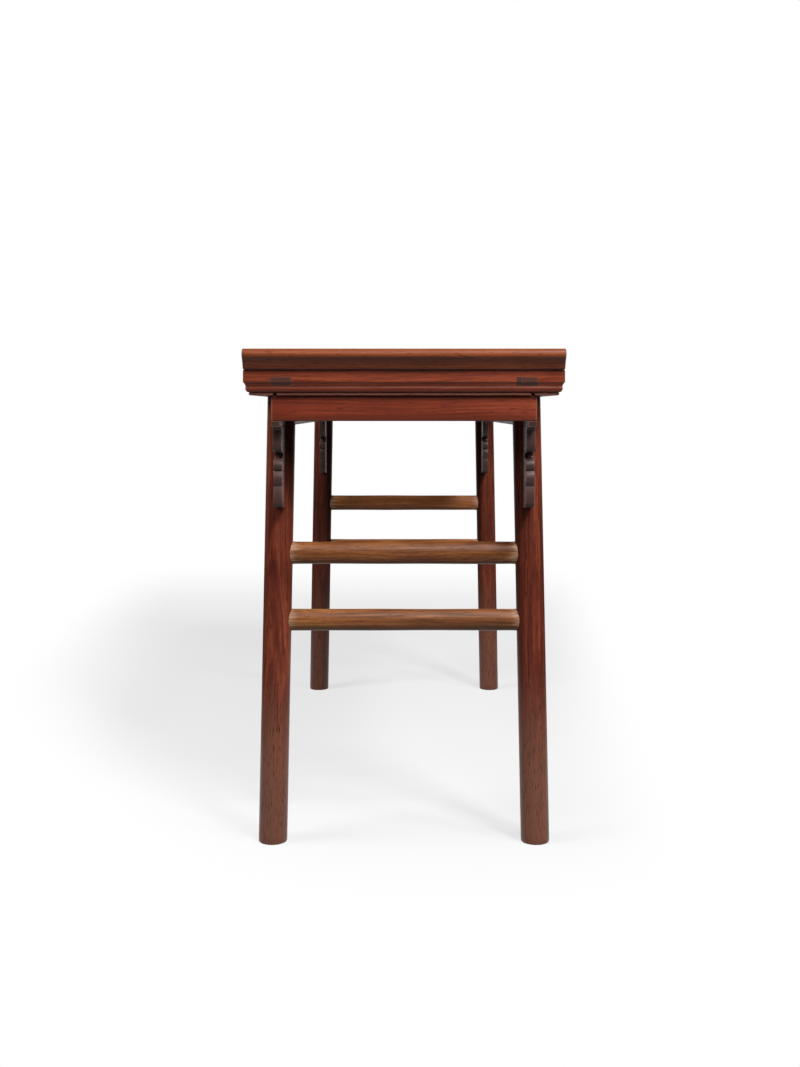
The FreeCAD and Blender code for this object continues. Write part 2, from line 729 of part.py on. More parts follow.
def tenon_outline(sketch, end, height, gap):
    """The section of a stretcher's tenon, grown by a gap."""
    centre = leg_x(height)
    half_deep = f"(dims.stretcher_tenon_deep / 2 + {gap})"
    half_tall = f"(dims.stretcher_tenon_tall / 2 + {gap})"
    rectangle(
        sketch,
        f"{centre} - {half_deep}",
        f"{centre} + {half_deep}",
        f"{height} - {half_tall}",
        f"{height} + {half_tall}",
        end,
    )


def stretcher(label, end, height, tall):
    """An oval stretcher between the two legs of an end, scribed to them and tenoned in."""
    body = new_body(label)
    section = new_sketch(body, "XZ")
    oval(section, f"{end} * {leg_x(height)}", height, "dims.stretcher_deep", tall)
    pad(body, section, f"2 * {leg_y(height)}", symmetric=True)
    for side in SIDES.values():
        scribe, length = leg_section(body, end, side, "dims.leg_diameter / 2 + dims.scribe_gap")
        pocket(body, scribe, length, reverse=True)
    tenon = new_sketch(body, "XZ")
    tenon_outline(tenon, end, height, "0")
    pad(body, tenon, f"2 * ({leg_y(height)} + dims.stretcher_tenon_past)", symmetric=True)


def tenon_wedges(label):
    """A wedge in the back tenon at the right end and in the front one at the left end."""
    wedges = []
    for end in ENDS.values():
        body = doc.addObject("PartDesign::Body", f"{label}_{end}")
        shape = new_sketch(body, "XY", "places.tenon_bottom")
        outline(shape, wedge_outline(end, "dims.joint_gap"), end)
        pad(body, shape, "dims.tenon_thick")
        cut_to_moulding(body, (end,))
        wedges.append(body)
    pair = doc.addObject("Part::Compound", label)
    pair.Links = wedges
    pair.Label = label
    nodes.append(pair)


def write_nodes():
    """Checks every object of the document and every piece, and writes a file for each piece."""
    doc.recompute()
    failed = [item.Name for item in doc.Objects if {"Invalid", "Error"} & set(item.State)]
    if failed:
        raise RuntimeError(f"not built: {failed}")
    for node in nodes:
        if node.Shape.isNull() or not node.Shape.isValid() or not node.Shape.Solids:
            raise RuntimeError(f"{node.Label} has no valid solid")
    os.makedirs("parts", exist_ok=True)
    for node in nodes:
        node.Shape.exportStep(f"parts/{node.Label}.step")
        print(node.Label, len(node.Shape.Solids), round(node.Shape.Volume))


def main():
    """Builds every piece, checks it and writes its file."""
    top_panel("top_panel")
    for side_name, side in SIDES.items():
        frame_rail(f"{side_name}_frame_rail", side)
        long_apron(f"{side_name}_apron", side)
    for batten_name, step in BATTENS.items():
        panel_batten(batten_name, step)
    for end_name, end in ENDS.items():
        frame_end(f"{end_name}_frame_end", end)
        end_flange(f"{end_name}_end_flange", end)
        end_apron(f"{end_name}_end_apron", end)
        for level, (height, tall) in STRETCHERS.items():
            stretcher(f"{end_name}_{level}_stretcher", end, height, tall)
        for side_name, side in SIDES.items():
            leg(f"{side_name}_{end_name}_leg", end, side)
            spandrel(f"{side_name}_{end_name}_spandrel", end, side)
    tenon_wedges("tenon_wedges")
    write_nodes()


main()
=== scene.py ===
"""The looks of an altar table: hand-shaped rosewood, waxed finishes, studio light and camera.

Every size is in metres. It comes from the frame's boxes and mounts, or from a named value here where the
frame has none. The end that the camera faces is at +X. The table's length lies along X, its width along Y.
"""

import json
import math

import bmesh
import bpy
import numpy as np
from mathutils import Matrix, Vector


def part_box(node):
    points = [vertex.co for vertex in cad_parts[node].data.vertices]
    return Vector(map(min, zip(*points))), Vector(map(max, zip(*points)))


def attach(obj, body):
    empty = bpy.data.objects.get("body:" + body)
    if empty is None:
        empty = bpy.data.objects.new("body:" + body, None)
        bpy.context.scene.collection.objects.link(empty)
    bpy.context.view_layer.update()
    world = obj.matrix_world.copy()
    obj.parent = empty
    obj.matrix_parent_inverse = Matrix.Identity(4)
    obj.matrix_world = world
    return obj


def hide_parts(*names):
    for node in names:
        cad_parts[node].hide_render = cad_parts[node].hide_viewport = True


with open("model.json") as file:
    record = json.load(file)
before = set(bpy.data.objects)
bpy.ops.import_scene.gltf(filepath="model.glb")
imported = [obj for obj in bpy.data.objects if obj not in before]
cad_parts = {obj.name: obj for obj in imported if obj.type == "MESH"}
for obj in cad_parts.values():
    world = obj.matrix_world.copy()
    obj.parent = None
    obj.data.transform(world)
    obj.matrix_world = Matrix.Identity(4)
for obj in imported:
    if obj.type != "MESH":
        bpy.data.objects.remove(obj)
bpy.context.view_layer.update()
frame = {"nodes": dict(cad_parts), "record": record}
BODY = "root"

MM = 0.001
ENDS = {"right": 1.0, "left": -1.0}
SIDES = {"front": -1.0, "back": 1.0}

# Clearances, and the arris roundings that hand tools and long use leave
SLOT_CLEARANCE = 0.1 * MM
SCRIBE_CLEARANCE = 0.3 * MM
BOARD_ARRIS = 0.9 * MM
FLANGE_ARRIS = 2.4 * MM
JOINERY_ARRIS = 0.5 * MM
FOOT_ROUNDING = 1.6 * MM
WELD_DISTANCE = 0.004 * MM

# Profiles, in the same shares as the solids: out, then up or down, then the bulge of the stretch that
# arrives there. A flange's are shares of its reach and rise, a cloud board's of its half width and drop.
FLANGE_REACH = 19.5 * MM
FLANGE_SHARES = ((0.15, 0, 0), (0.26, 0.06, 0), (0.84, 0.54, -0.035), (0.62, 1, 0.155))
FLANGE_HOLLOW_SHARE = 0.2
FLANGE_TOE_SHARE = 0.04
CLOUD_SHARES = (
    (0.29, 1, 0),
    (0.66, 0.985, 0.004),
    (0.785, 0.9, 0.033),
    (0.765, 0.72, 0.011),
    (0.765, 0.534, 0.048),
    (0.72, 0.386, 0.064),
    (0.615, 0.382, 0),
    (0.615, 0.32, -0.032),
    (0.785, 0.314, -0.005),
    (0.94, 0.21, 0.037),
    (0.935, 0.05, 0.006),
    (1, 0, -0.012),
)


# Lines and patches


def arc(start, end, bulge, steps):
    """Points from start towards end, without the end, on the arc that stands off its chord by the bulge.

    The bulge is to the right of the way. With a = 2 atan(2 bulge / chord), the point at an angle t from
    -a to a lies chord * (1/2 + sin t / (2 sin a)) along the chord and
    chord * (cos t - cos a) / (2 sin a) off it.
    """
    start, end = np.asarray(start, float), np.asarray(end, float)
    share = np.arange(steps)[:, None] / steps
    chord = end - start
    if not bulge:
        return start + share * chord
    right = np.array([chord[1], -chord[0]])
    half = 2.0 * math.atan(2.0 * bulge / math.hypot(*chord))
    turn = half * (2.0 * share - 1.0)
    along = 0.5 + np.sin(turn) / (2.0 * math.sin(half))
    off = (np.cos(turn) - math.cos(half)) / (2.0 * math.sin(half))
    return start + along * chord + off * right


def line_through(rows, steps, straight=2):
    """An open line through rows of (x, y, bulge), each bulge that of the stretch that arrives at its row.

    A curved stretch has as many points as the steps, and a plain one as many as straight says.
    """
    spans = [
        arc(here[:2], there[:2], there[2], steps if there[2] else straight)
        for here, there in zip(rows, rows[1:])
    ]
    return np.vstack([*spans, [rows[-1][:2]]])


def inset(loop, distance):
    """A closed loop moved inwards by the distance, along the mean normal of the two edges at each point."""
    ahead = np.roll(loop, -1, 0) - loop
    behind = loop - np.roll(loop, 1, 0)
    ahead = ahead / np.linalg.norm(ahead, axis=1)[:, None]
    behind = behind / np.linalg.norm(behind, axis=1)[:, None]
    tangent = ahead + behind
    tangent = tangent / np.linalg.norm(tangent, axis=1)[:, None]
    normal = np.stack([-tangent[:, 1], tangent[:, 0]], 1)
    following = np.roll(loop, -1, 0)
    area = np.sum(loop[:, 0] * following[:, 1] - following[:, 0] * loop[:, 1])
    return loop + np.sign(area) * distance * normal


def eased_profile(half, arris, steps=4):
    """How far in, and where along a thickness, the rows of an eased board lie.

    Each face has a quarter round: arris * (1 - sin t) inwards at half - arris * (1 - cos t).
    """
    turn = np.linspace(0.0, math.pi / 2.0, steps + 1)
    inward = arris * (1.0 - np.sin(turn))
    place = half - arris * (1.0 - np.cos(turn))
    return np.concatenate([inward, inward[::-1]]), np.concatenate([-place, place[::-1]])


def ruled(first, last, columns):
    """A patch of straight rulings between two lines of as many points."""
    share = np.linspace(0.0, 1.0, columns)[None, :, None]
    return first[:, None, :] * (1.0 - share) + last[:, None, :] * share


def quads(rows, columns, first):
    """Corner numbers of the quads between the rows and columns of one grid, counted on from first."""
    index = first + np.arange(rows * columns).reshape(rows, columns)
    corners = (index[:-1, :-1], index[1:, :-1], index[1:, 1:], index[:-1, 1:])
    return np.stack(corners, -1).reshape(-1, 4)


def block(low, high):
    """The six patches of a closed tenon or tongue between two corners, which starts inside its piece."""
    low, high = np.asarray(low, float), np.asarray(high, float)
    patches = []
    for axis in range(3):
        one, two = (axis + 1) % 3, (axis + 2) % 3
        for level in (low[axis], high[axis]):
            patch = np.empty((2, 2, 3))
            patch[..., axis] = level
            patch[..., one] = np.array([[low[one]], [high[one]]])
            patch[..., two] = np.array([[low[two], high[two]]])
            patches.append(patch)
    return patches


# Pieces

FLAT_ANGLE = math.radians(0.5)
CORNER_ANGLE = math.radians(30.0)


def weld_and_turn_outwards(mesh):
    """Merges the points that lie on each other, drops faces with no area and points the rest outwards."""
    worked = bmesh.new()
    worked.from_mesh(mesh)
    bmesh.ops.remove_doubles(worked, verts=worked.verts, dist=WELD_DISTANCE)
    bmesh.ops.dissolve_degenerate(worked, edges=worked.edges, dist=WELD_DISTANCE / 10.0)
    bmesh.ops.recalc_face_normals(worked, faces=worked.faces)
    worked.to_mesh(mesh)
    worked.free()


def finish_piece(made, finish, node):
    """Links a finished piece, gives it its material and lets it ride on the table in place of its node."""
    bpy.context.scene.collection.objects.link(made)
    made.data.materials.clear()
    made.data.materials.append(finish)
    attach(made, BODY)
    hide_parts(node)


def shaped_piece(node, patches, finish, crease=40.0):
    """One mesh from patches, each a grid of points (rows, columns, 3).

    Their shared borders and poles are welded, their faces point outwards, and edges that turn by more than
    the crease, in degrees, stay sharp.
    """
    points = np.concatenate([patch.reshape(-1, 3) for patch in patches])
    firsts = np.cumsum([0] + [patch.shape[0] * patch.shape[1] for patch in patches])
    faces = np.concatenate([quads(*patch.shape[:2], first) for patch, first in zip(patches, firsts)])
    mesh = bpy.data.meshes.new(node + "_shaped")
    mesh.from_pydata(points, [], faces)
    weld_and_turn_outwards(mesh)
    mesh.shade_smooth()
    mesh.set_sharp_from_angle(angle=math.radians(crease))
    finish_piece(bpy.data.objects.new(node + "_shaped", mesh), finish, node)


def eased_piece(node, finish):
    """The node's own form with its arrises eased: a welded copy, its flat faces joined, under a bevel."""
    mesh = frame["nodes"][node].data.copy()
    mesh.name = node + "_eased"
    worked = bmesh.new()
    worked.from_mesh(mesh)
    bmesh.ops.remove_doubles(worked, verts=worked.verts, dist=WELD_DISTANCE)
    bmesh.ops.dissolve_limit(worked, angle_limit=FLAT_ANGLE, verts=worked.verts, edges=worked.edges)
    worked.to_mesh(mesh)
    worked.free()
    mesh.shade_smooth()
    mesh.set_sharp_from_angle(angle=CORNER_ANGLE)
    made = bpy.data.objects.new(node + "_eased", mesh)
    bevel = made.modifiers.new("arris", "BEVEL")
    bevel.width = JOINERY_ARRIS
    bevel.segments = 2
    bevel.limit_method = "ANGLE"
    bevel.angle_limit = CORNER_ANGLE
    bevel.harden_normals = True
    finish_piece(made, finish, node)


# Legs

FRAME_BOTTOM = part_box("right_frame_end")[0].z
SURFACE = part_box("right_frame_end")[1].z
FLOOR_POINTS = {mount["name"]: mount["pos_m"] for mount in frame["record"]["mounts"]}

LEG_TENON = {"half_width": 12.0 * MM, "half_spread": 17.0 * MM, "root": 3.0 * MM}

# A hand plane leaves this many flats round a leg, this deep. They wander with the height, and the leg is a
# little oval, because the plane bears harder on two sides.
PLANE_FLATS = 17
PLANE_DEPTH = 0.09 * MM
WANDER, WANDER_TURNS = 0.6, 9.0
OVAL_SHARE, OVAL_TURNS = 0.4, 23.0

# The rim of a foot that was pushed about for years: how much is gone, and how soon that ends above it
FOOT_WEAR = 0.25 * MM
FOOT_WEAR_HEIGHT = 3.0 * MM
SHAFT_START = 12.0 * MM

FOOT_ROWS, SHAFT_ROWS, PRONG_ROWS, SOLE_ROWS = 5, 40, 24, 6
PRONG_COLUMNS, SLOT_COLUMNS, HEAD_COLUMNS = 56, 9, 4


class LegAxis:
    """One leg as the frame gives it: its foot, its lean inwards per unit of height, and its radius.

    The slot in its head takes the long apron and the cloud board, whose plane stands at board_y. Places
    about the leg are (out, across) from its axis, both outwards from the table's middle.
    """

    def __init__(self, end, side):
        self.end, self.side = ENDS[end], SIDES[side]
        board_low, board_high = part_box(f"{side}_{end}_spandrel")
        low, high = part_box(f"{side}_{end}_leg")
        foot = FLOOR_POINTS[f"{side}_{end}_foot"]
        self.foot_x, self.foot_y = abs(foot[0]), abs(foot[1])
        self.board_x = abs(board_low.x + board_high.x) / 2.0
        self.board_y = abs(board_low.y + board_high.y) / 2.0
        self.board_half = (board_high.y - board_low.y) / 2.0
        self.slot_bottom = board_low.z
        slot_middle = (self.slot_bottom + FRAME_BOTTOM) / 2.0
        self.lean = (self.foot_x - self.board_x) / slot_middle
        self.radius = max(abs(low.x), abs(high.x)) - self.foot_x
        self.top = high.z

    def centre(self, height):
        """Where the axis stands at a height, along and across, both counted from the table's middle."""
        return self.foot_x - self.lean * height, self.foot_y - self.lean * height

    def place(self, spots, height):
        """Points of the table from (out, across) spots about the axis at their heights."""
        x, y = self.centre(height)
        along, across = self.end * (x + spots[..., 0]), self.side * (y + spots[..., 1])
        return np.stack(np.broadcast_arrays(along, across, height), -1)

    def planed(self, angle, height, share):
        """The planed edge's distance from the axis at an angle a and a height h.

        It is the radius less depth * (1/2 + cos(flats * a + wander) / 2 + oval * sin(2 a + turns * h)),
        run out by sqrt(sin(pi * share)) towards the slot's walls, at the shares 0 and 1.
        """
        wander = WANDER * np.sin(WANDER_TURNS * height + self.end + 2.0 * self.side)
        flat = 0.5 + 0.5 * np.cos(PLANE_FLATS * angle + wander)
        flat = flat + OVAL_SHARE * np.sin(2.0 * angle + OVAL_TURNS * height)
        return self.radius - PLANE_DEPTH * flat * np.sqrt(np.sin(math.pi * share))

    def slot_sides(self, height):
        """The slot's outer and inner wall, across from the axis."""
        middle = self.board_y - self.centre(height)[1]
        half = self.board_half + SLOT_CLEARANCE
        return middle + half, middle - half

    def prong_edge(self, height, outer):
        """The round edge of the outer or the inner prong at each height, from one wall end to the other."""
        outer_wall, inner_wall = self.slot_sides(height)
        if outer:
            start = np.arcsin(outer_wall / self.radius)
            stop = math.pi - start
        else:
            start = math.pi - np.arcsin(inner_wall / self.radius)
            stop = 2.0 * math.pi + np.arcsin(inner_wall / self.radius)
        share = np.linspace(0.0, 1.0, PRONG_COLUMNS)[None, :]
        angle = start[:, None] + (stop - start)[:, None] * share
        reach = self.planed(angle, height[:, None], share)
        return np.stack([reach * np.cos(angle), reach * np.sin(angle)], -1)

    def slot_edge(self, out_sign, lower, upper):
        """The leg's edge across the slot, at equal steps: out = +-sqrt(radius^2 - across^2)."""
        across = np.linspace(lower, upper, SLOT_COLUMNS)
        return np.stack([out_sign * np.sqrt(self.radius**2 - across**2), across], -1)


def leg_shaft(leg, ring):
    """The shaft from the worn foot to the slot's floor, and its sole: the ring, drawn in near the floor.

    The foot is a quarter round, less a wear of wear * (1 + sin 3a * sin 7a) * exp(-height / wear height).
    """
    turn = np.linspace(0.0, math.pi / 2.0, FOOT_ROWS)
    shaft_heights = np.linspace(SHAFT_START, leg.slot_bottom, SHAFT_ROWS)
    heights = np.concatenate([FOOT_ROUNDING * (1.0 - np.cos(turn)), shaft_heights])
    insets = np.concatenate([FOOT_ROUNDING * (1.0 - np.sin(turn)), np.zeros(SHAFT_ROWS)])
    angle = np.arctan2(ring[:, 1], ring[:, 0])
    worn = FOOT_WEAR * (1.0 + np.sin(3.0 * angle + leg.end) * np.sin(7.0 * angle + 2.0 * leg.side))
    worn = worn[None, :] * np.exp(-heights[:, None] / FOOT_WEAR_HEIGHT)
    shares = 1.0 - (insets[:, None] + worn) / leg.radius
    sole_shares = np.linspace(1.0, 0.0, SOLE_ROWS)[:, None] * shares[0]
    shaft = leg.place(ring * shares[..., None], heights[:, None])
    sole = leg.place(ring * sole_shares[..., None], np.zeros((SOLE_ROWS, 1)))
    return [shaft, sole]


def leg_prong(leg, outer):
    """One prong of the split head: its round edge, its flat wall on the slot, its top and its tenon."""
    heights = np.linspace(leg.slot_bottom, FRAME_BOTTOM, PRONG_ROWS)
    edge = leg.prong_edge(heights, outer)
    wall = ruled(edge[:, 0], edge[:, -1], PRONG_COLUMNS)
    head = ruled(edge[-1], wall[-1], HEAD_COLUMNS)
    patches = [leg.place(edge, heights[:, None]), leg.place(wall, heights[:, None])]
    patches.append(leg.place(head, np.full((1, 1), FRAME_BOTTOM)))
    near, far = leg.board_half + SLOT_CLEARANCE, LEG_TENON["half_spread"]
    if not outer:
        near, far = -near, -far
    middle, half_width = leg.centre(FRAME_BOTTOM)[0], LEG_TENON["half_width"]
    along = sorted((leg.end * (middle - half_width), leg.end * (middle + half_width)))
    across = sorted((leg.side * (leg.board_y + near), leg.side * (leg.board_y + far)))
    low = (along[0], across[0], FRAME_BOTTOM - LEG_TENON["root"])
    return [*patches, *block(low, (along[1], across[1], leg.top))]


def shape_leg(end, side, finish):
    """A round leg, split at its head.

    At each height its edge is radius * (cos a, sin a) off the axis, less the flats of a hand plane. Above
    the slot's floor its two prongs end in walls at board_y +- half the slot.
    """
    leg = LegAxis(end, side)
    base = np.array([leg.slot_bottom])
    outer_wall, inner_wall = (wall[0] for wall in leg.slot_sides(base))
    back, front = (leg.slot_edge(sign, outer_wall, inner_wall) for sign in (-1.0, 1.0))
    edges = (leg.prong_edge(base, True)[0], back[1:], leg.prong_edge(base, False)[0][1:], front[-2::-1])
    slot_floor = ruled(back, front, PRONG_COLUMNS)
    patches = [
        *leg_shaft(leg, np.concatenate(edges)),
        *leg_prong(leg, True),
        *leg_prong(leg, False),
        leg.place(slot_floor, base[:, None]),
    ]
    shaped_piece(f"{side}_{end}_leg", patches, finish)


# Cloud boards, stretchers and flanges

BOARD_TONGUE = {"half_thickness": 2.5 * MM, "root": 2.0 * MM}
BOARD_ARC, BOARD_STRAIGHT, BOARD_COLUMNS = 10, 4, 9


def shape_cloud_board(end, side, finish):
    """A cloud-head board: the outline of its two wings carried across the thickness.

    Each face's arrises are eased by a quarter round, and each face is ruled from wing to wing. Under the
    apron the top edge stays flat.
    """
    node = f"{side}_{end}_spandrel"
    leg = LegAxis(end, side)
    low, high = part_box(node)
    reach = (high.x - low.x) / 2.0
    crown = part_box(f"{side}_apron")[0].z
    drop = crown - low.z
    rows = [(reach * out, crown - drop * down, reach * bulge) for out, down, bulge in CLOUD_SHARES]
    wing = line_through(rows, BOARD_ARC, straight=BOARD_STRAIGHT)
    mirrored = wing * (-1.0, 1.0)
    top_edge = ruled(wing[-1:], mirrored[-1:], BOARD_COLUMNS)[0, 1:-1]
    foot_edge = ruled(mirrored[:1], wing[:1], BOARD_COLUMNS)[0, 1:-1]
    loop = np.vstack([wing, top_edge, mirrored[::-1], foot_edge])
    inward, across = eased_profile(leg.board_half, BOARD_ARRIS)
    eased = np.stack([inset(loop, distance) for distance in inward])
    eased[:, loop[:, 1] > crown - WELD_DISTANCE, 1] = crown

    def board(points, lateral):
        """Points of the table from the board's own outline and places across it."""
        along = leg.end * (leg.board_x + points[..., 0])
        return np.stack(np.broadcast_arrays(along, leg.side * (leg.board_y + lateral), points[..., 1]), -1)

    patches = [board(np.concatenate([eased, eased[:, :1]], axis=1), across[:, None])]
    wing_stop = len(wing)
    top_stop = wing_stop + len(top_edge)
    mirrored_stop = top_stop + len(mirrored)
    for row in (0, -1):
        face = ruled(eased[row][:wing_stop], eased[row][top_stop:mirrored_stop][::-1], BOARD_COLUMNS)
        face[-1, 1:-1] = eased[row][wing_stop:top_stop]
        face[0, 1:-1] = eased[row][mirrored_stop:][::-1]
        patches.append(board(face, across[row]))
    middle, lateral = leg.end * leg.board_x, leg.side * leg.board_y
    half = BOARD_TONGUE["half_thickness"]
    tongue_low = (middle - reach / 2.0, lateral - half, crown - BOARD_TONGUE["root"])
    patches.extend(block(tongue_low, (middle + reach / 2.0, lateral + half, high.z)))
    shaped_piece(node, patches, finish, crease=35.0)


# The tight arcs' radius, as a share of half the stretcher's width
CROWN_ARC_SHARE = 0.78
# A stretcher was shaved by eye: it wanders in thickness by this much, in two waves along it, and no two
# heights have them at the same place
STRETCHER_WAVE = 0.22 * MM
SHORT_WAVE, LONG_WAVE, WAVE_SHIFT = 5.0, 2.2, 40.0
STRETCHER_STATIONS, STRETCHER_ARC, CAP_ROWS = 61, 18, 6
# Past this share of the way to the leg the bar keeps its true section
TRUE_END = 0.99


def shape_stretcher(end, level, finish):
    """An oval bar scribed between two legs.

    Round it, two wide flank arcs run into two tight crown arcs. Along it, each row keeps its share of the
    way to the leg's surface, y = axis_y - sqrt(r^2 - (x - axis_x)^2).
    """
    node = f"{end}_{level}_stretcher"
    leg = LegAxis(end, "back")
    low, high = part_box(node)
    flank, crown = (high.x - low.x) / 2.0, (high.z - low.z) / 2.0
    height = (high.z + low.z) / 2.0
    middle = leg.centre(height)[0]
    tight = CROWN_ARC_SHARE * flank
    wide = (flank**2 + crown**2 - 2.0 * crown * tight) / 2.0 / (flank - tight)
    out = tight * (wide - flank) / (wide - tight)
    up = (crown - tight) * wide / (wide - tight)
    corners = [
        (out, -up, 0.0),
        (out, up, flank - out),
        (-out, up, crown - up),
        (-out, -up, flank - out),
        (out, -up, crown - up),
    ]
    edge = line_through(corners, STRETCHER_ARC)

    def reach(spots):
        """How far along the bar the leg's surface stands from the middle, at spots about the bar's axis."""
        x, y = leg.centre(height + spots[..., 1])
        return y - np.sqrt((leg.radius + SCRIBE_CLEARANCE) ** 2 - (middle + spots[..., 0] - x) ** 2)

    share = np.linspace(-1.0, 1.0, STRETCHER_STATIONS)[:, None]
    phase = leg.end + height * WAVE_SHIFT
    wave = 1.0 + np.sin(SHORT_WAVE * share + phase) * np.cos(LONG_WAVE * share - phase)
    slack = np.where(np.abs(share) > TRUE_END, 1.0, 1.0 - (STRETCHER_WAVE / flank) * wave)
    patches = [
        np.stack(np.broadcast_arrays(edge[:, 0] * slack, share * reach(edge), edge[:, 1] * slack), -1)
    ]
    cap = edge * np.linspace(1.0, 0.0, CAP_ROWS)[:, None, None]
    for side in SIDES.values():
        patches.append(np.stack([cap[..., 0], side * reach(cap), cap[..., 1]], -1))
    for patch in patches:
        patch[..., 0] = leg.end * (middle + patch[..., 0])
        patch[..., 2] += height
    shaped_piece(node, patches, finish)


FLANGE_TONGUE = {
    "in_from_face": 24.0 * MM,
    "half_thickness": 5.0 * MM,
    "half_length": 150.0 * MM,
    "root": 1.0 * MM,
}
FLANGE_ARC, FLANGE_COLUMNS, FLANGE_STATIONS = 22, 12, 40


def shape_flange(end, finish):
    """An everted flange: foot, hollow flare, roll and long inner hollow carried across the table.

    The profile is drawn in by a quarter round at both ends, and each end is ruled from the outer side to
    the inner one, from the crest down.
    """
    node = f"{end}_end_flange"
    sign = ENDS[end]
    low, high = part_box(node)
    face = abs(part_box(f"{end}_frame_end")[1 if sign > 0 else 0].x)
    toe = min(abs(low.x), abs(high.x))
    rise = high.z - SURFACE
    outer_rows = [
        (FLANGE_REACH * out + face, SURFACE + rise * up, rise * bulge) for out, up, bulge in FLANGE_SHARES
    ]
    toe_row = (toe, SURFACE + rise * FLANGE_TOE_SHARE, -rise * FLANGE_HOLLOW_SHARE)
    outer = line_through(outer_rows, FLANGE_ARC)
    # The toe's upright adds two points, and the line's last one makes three: both sides have as many
    inner = line_through([outer_rows[-1], toe_row, (toe, SURFACE, 0.0)], len(outer) - 3)
    bottom = ruled(inner[-1:], outer[:1], FLANGE_COLUMNS)[0, 1:-1]
    loop = np.vstack([outer, inner[1:], bottom])
    inward, across = eased_profile(high.y, FLANGE_ARRIS, steps=6)
    eased = np.stack([inset(loop, distance) for distance in inward])
    eased[..., 1] = np.maximum(eased[..., 1], SURFACE)
    carried = np.concatenate([eased, eased[:, :1]], axis=1)
    middle = len(inward) // 2
    between = np.linspace(across[middle - 1], across[middle], FLANGE_STATIONS)[1:-1]
    stations = np.concatenate([across[:middle], between, across[middle:]])
    plain = np.repeat(carried[middle : middle + 1], len(between), 0)
    sections = np.concatenate([carried[:middle], plain, carried[middle:]])

    def carry(spots, lateral):
        """Points of the table from the profile and places across the table."""
        return np.stack(np.broadcast_arrays(sign * spots[..., 0], lateral, spots[..., 1]), -1)

    patches = [carry(sections, stations[:, None])]
    crest, toe_foot = len(outer) - 1, len(outer) + len(inner) - 1
    for row in (0, -1):
        cap = ruled(eased[row][crest::-1], eased[row][crest:toe_foot], FLANGE_COLUMNS)
        cap[-1, 1:-1] = eased[row][toe_foot:][::-1]
        patches.append(carry(cap, stations[row]))
    tongue_x = sign * (face - FLANGE_TONGUE["in_from_face"])
    half, half_length = FLANGE_TONGUE["half_thickness"], FLANGE_TONGUE["half_length"]
    tongue_low = (tongue_x - half, -half_length, low.z)
    patches.extend(block(tongue_low, (tongue_x + half, half_length, SURFACE + FLANGE_TONGUE["root"])))
    shaped_piece(node, patches, finish, crease=35.0)


# Shader helpers

WHITE = (1.0, 1.0, 1.0, 1.0)


def add(tree, kind, inputs=(), **settings):
    """Adds one shader node. Settings are its properties; inputs pair a socket's name or number with a value
    or with the socket that feeds it."""
    made = tree.nodes.new(kind)
    for name, value in settings.items():
        setattr(made, name, value)
    for key, value in dict(inputs).items():
        if isinstance(value, bpy.types.NodeSocket):
            tree.links.new(value, made.inputs[key])
        else:
            made.inputs[key].default_value = value
    return made


def linear(code):
    """The linear colour, with alpha, of an sRGB hex code: each channel by the sRGB curve."""
    shares = np.array([int(code[i : i + 2], 16) for i in (1, 3, 5)]) / 255.0
    curved = np.where(shares <= 0.04045, shares / 12.92, ((shares + 0.055) / 1.055) ** 2.4)
    return (*curved.tolist(), 1.0)


def empty_tree(holder):
    """The node tree of a new material or world, without its first nodes."""
    holder.use_nodes = True
    holder.node_tree.nodes.clear()
    return holder.node_tree


# Rosewood, by real sizes across the grain. A noise of scale s has about s spots in a metre, and a wave of
# scale s repeats every pi / 10 / s.

RING_WIDTH = 4.5 * MM
# Bundles of fibres, with finer ones in them down to 0.1 mm
FIBRE_WIDTH = 3.2 * MM
# Streaks of 14 mm, and clouds of 170 mm
STREAKS_PER_METRE = 70.0
CLOUDS_PER_METRE = 6.0
# Real pores are 0.2 mm wide, too fine to show: these are about twice as wide, and a millimetre apart
PORES_PER_METRE = 900.0
PORE_RANGE = (0.6, 0.7)
# Fibres and streaks are 33 times as long as wide, and pores 17 times
FIBRE_SQUEEZE = 0.03
PORE_SQUEEZE = 0.06
# The grain strays by up to 15 mm, about once in 110 mm across and once in 320 mm along
STRAY = 30.0 * MM
STRAYS_PER_METRE = 9.0
STRAY_SQUEEZE = 0.35
# What each pattern adds to the tone, and the sums that make the darkest and the lightest tone
RING_WEIGHT = 0.16
FIBRE_WEIGHT, STREAK_WEIGHT, CLOUD_WEIGHT = 1.2, 0.9, 0.8
TONE_RANGE = (-0.5, 0.66)
TONE_STOPS = (0.12, 0.5, 0.9)

# How much of a normal lies along the grain where side grain turns into end grain, or how much of it lies
# across a board's faces where its sawn outline turns into them, and how full the end tone gets
END_GRAIN_RANGE = (0.55, 0.75)
SAWN_RANGE = (0.55, 0.45)
END_TONE_SHARE = 0.92
# Old wax and dirt keep to corners this near, and the same darkening is painted shade in the recesses where
# parts meet. The range is of openness, from a corner to an open face
GRIME_AND_SHADE_REACH = 3.2 * MM
GRIME_AND_SHADE_RANGE = (0.25, 0.7)
GRIME_AND_SHADE_SHARE = 0.65
# Hands and cloths wear an arris back this far. The range is of the wood behind it, from an arris inwards
WEAR_REACH = 2.2 * MM
WEAR_RANGE = (0.55, 0.9)
WEAR_SHARE = 0.4
# Wax: roughness between the fibres and how it spreads with them, and what the corners of grime and painted
# shade add
POLISH, DULL = 0.36, 0.5
POLISH_SPREAD = (0.1, -0.04)
FIBRE_RANGE = (0.3, 0.7)
GRIME_AND_SHADE_ROUGHNESS = 0.6
WAX_IOR, WAX_SPECULAR = 1.5, 0.22
# Bump: fibres stand and pores sink by a share of this depth
RELIEF = 0.15 * MM
RELIEF_STRENGTH = 0.35

# Turns that bring the grain's axis to Z
TURNS = {"z": (0.0, 0.0, 0.0), "x": (0.0, math.radians(90.0), 0.0), "y": (math.radians(90.0), 0.0, 0.0)}
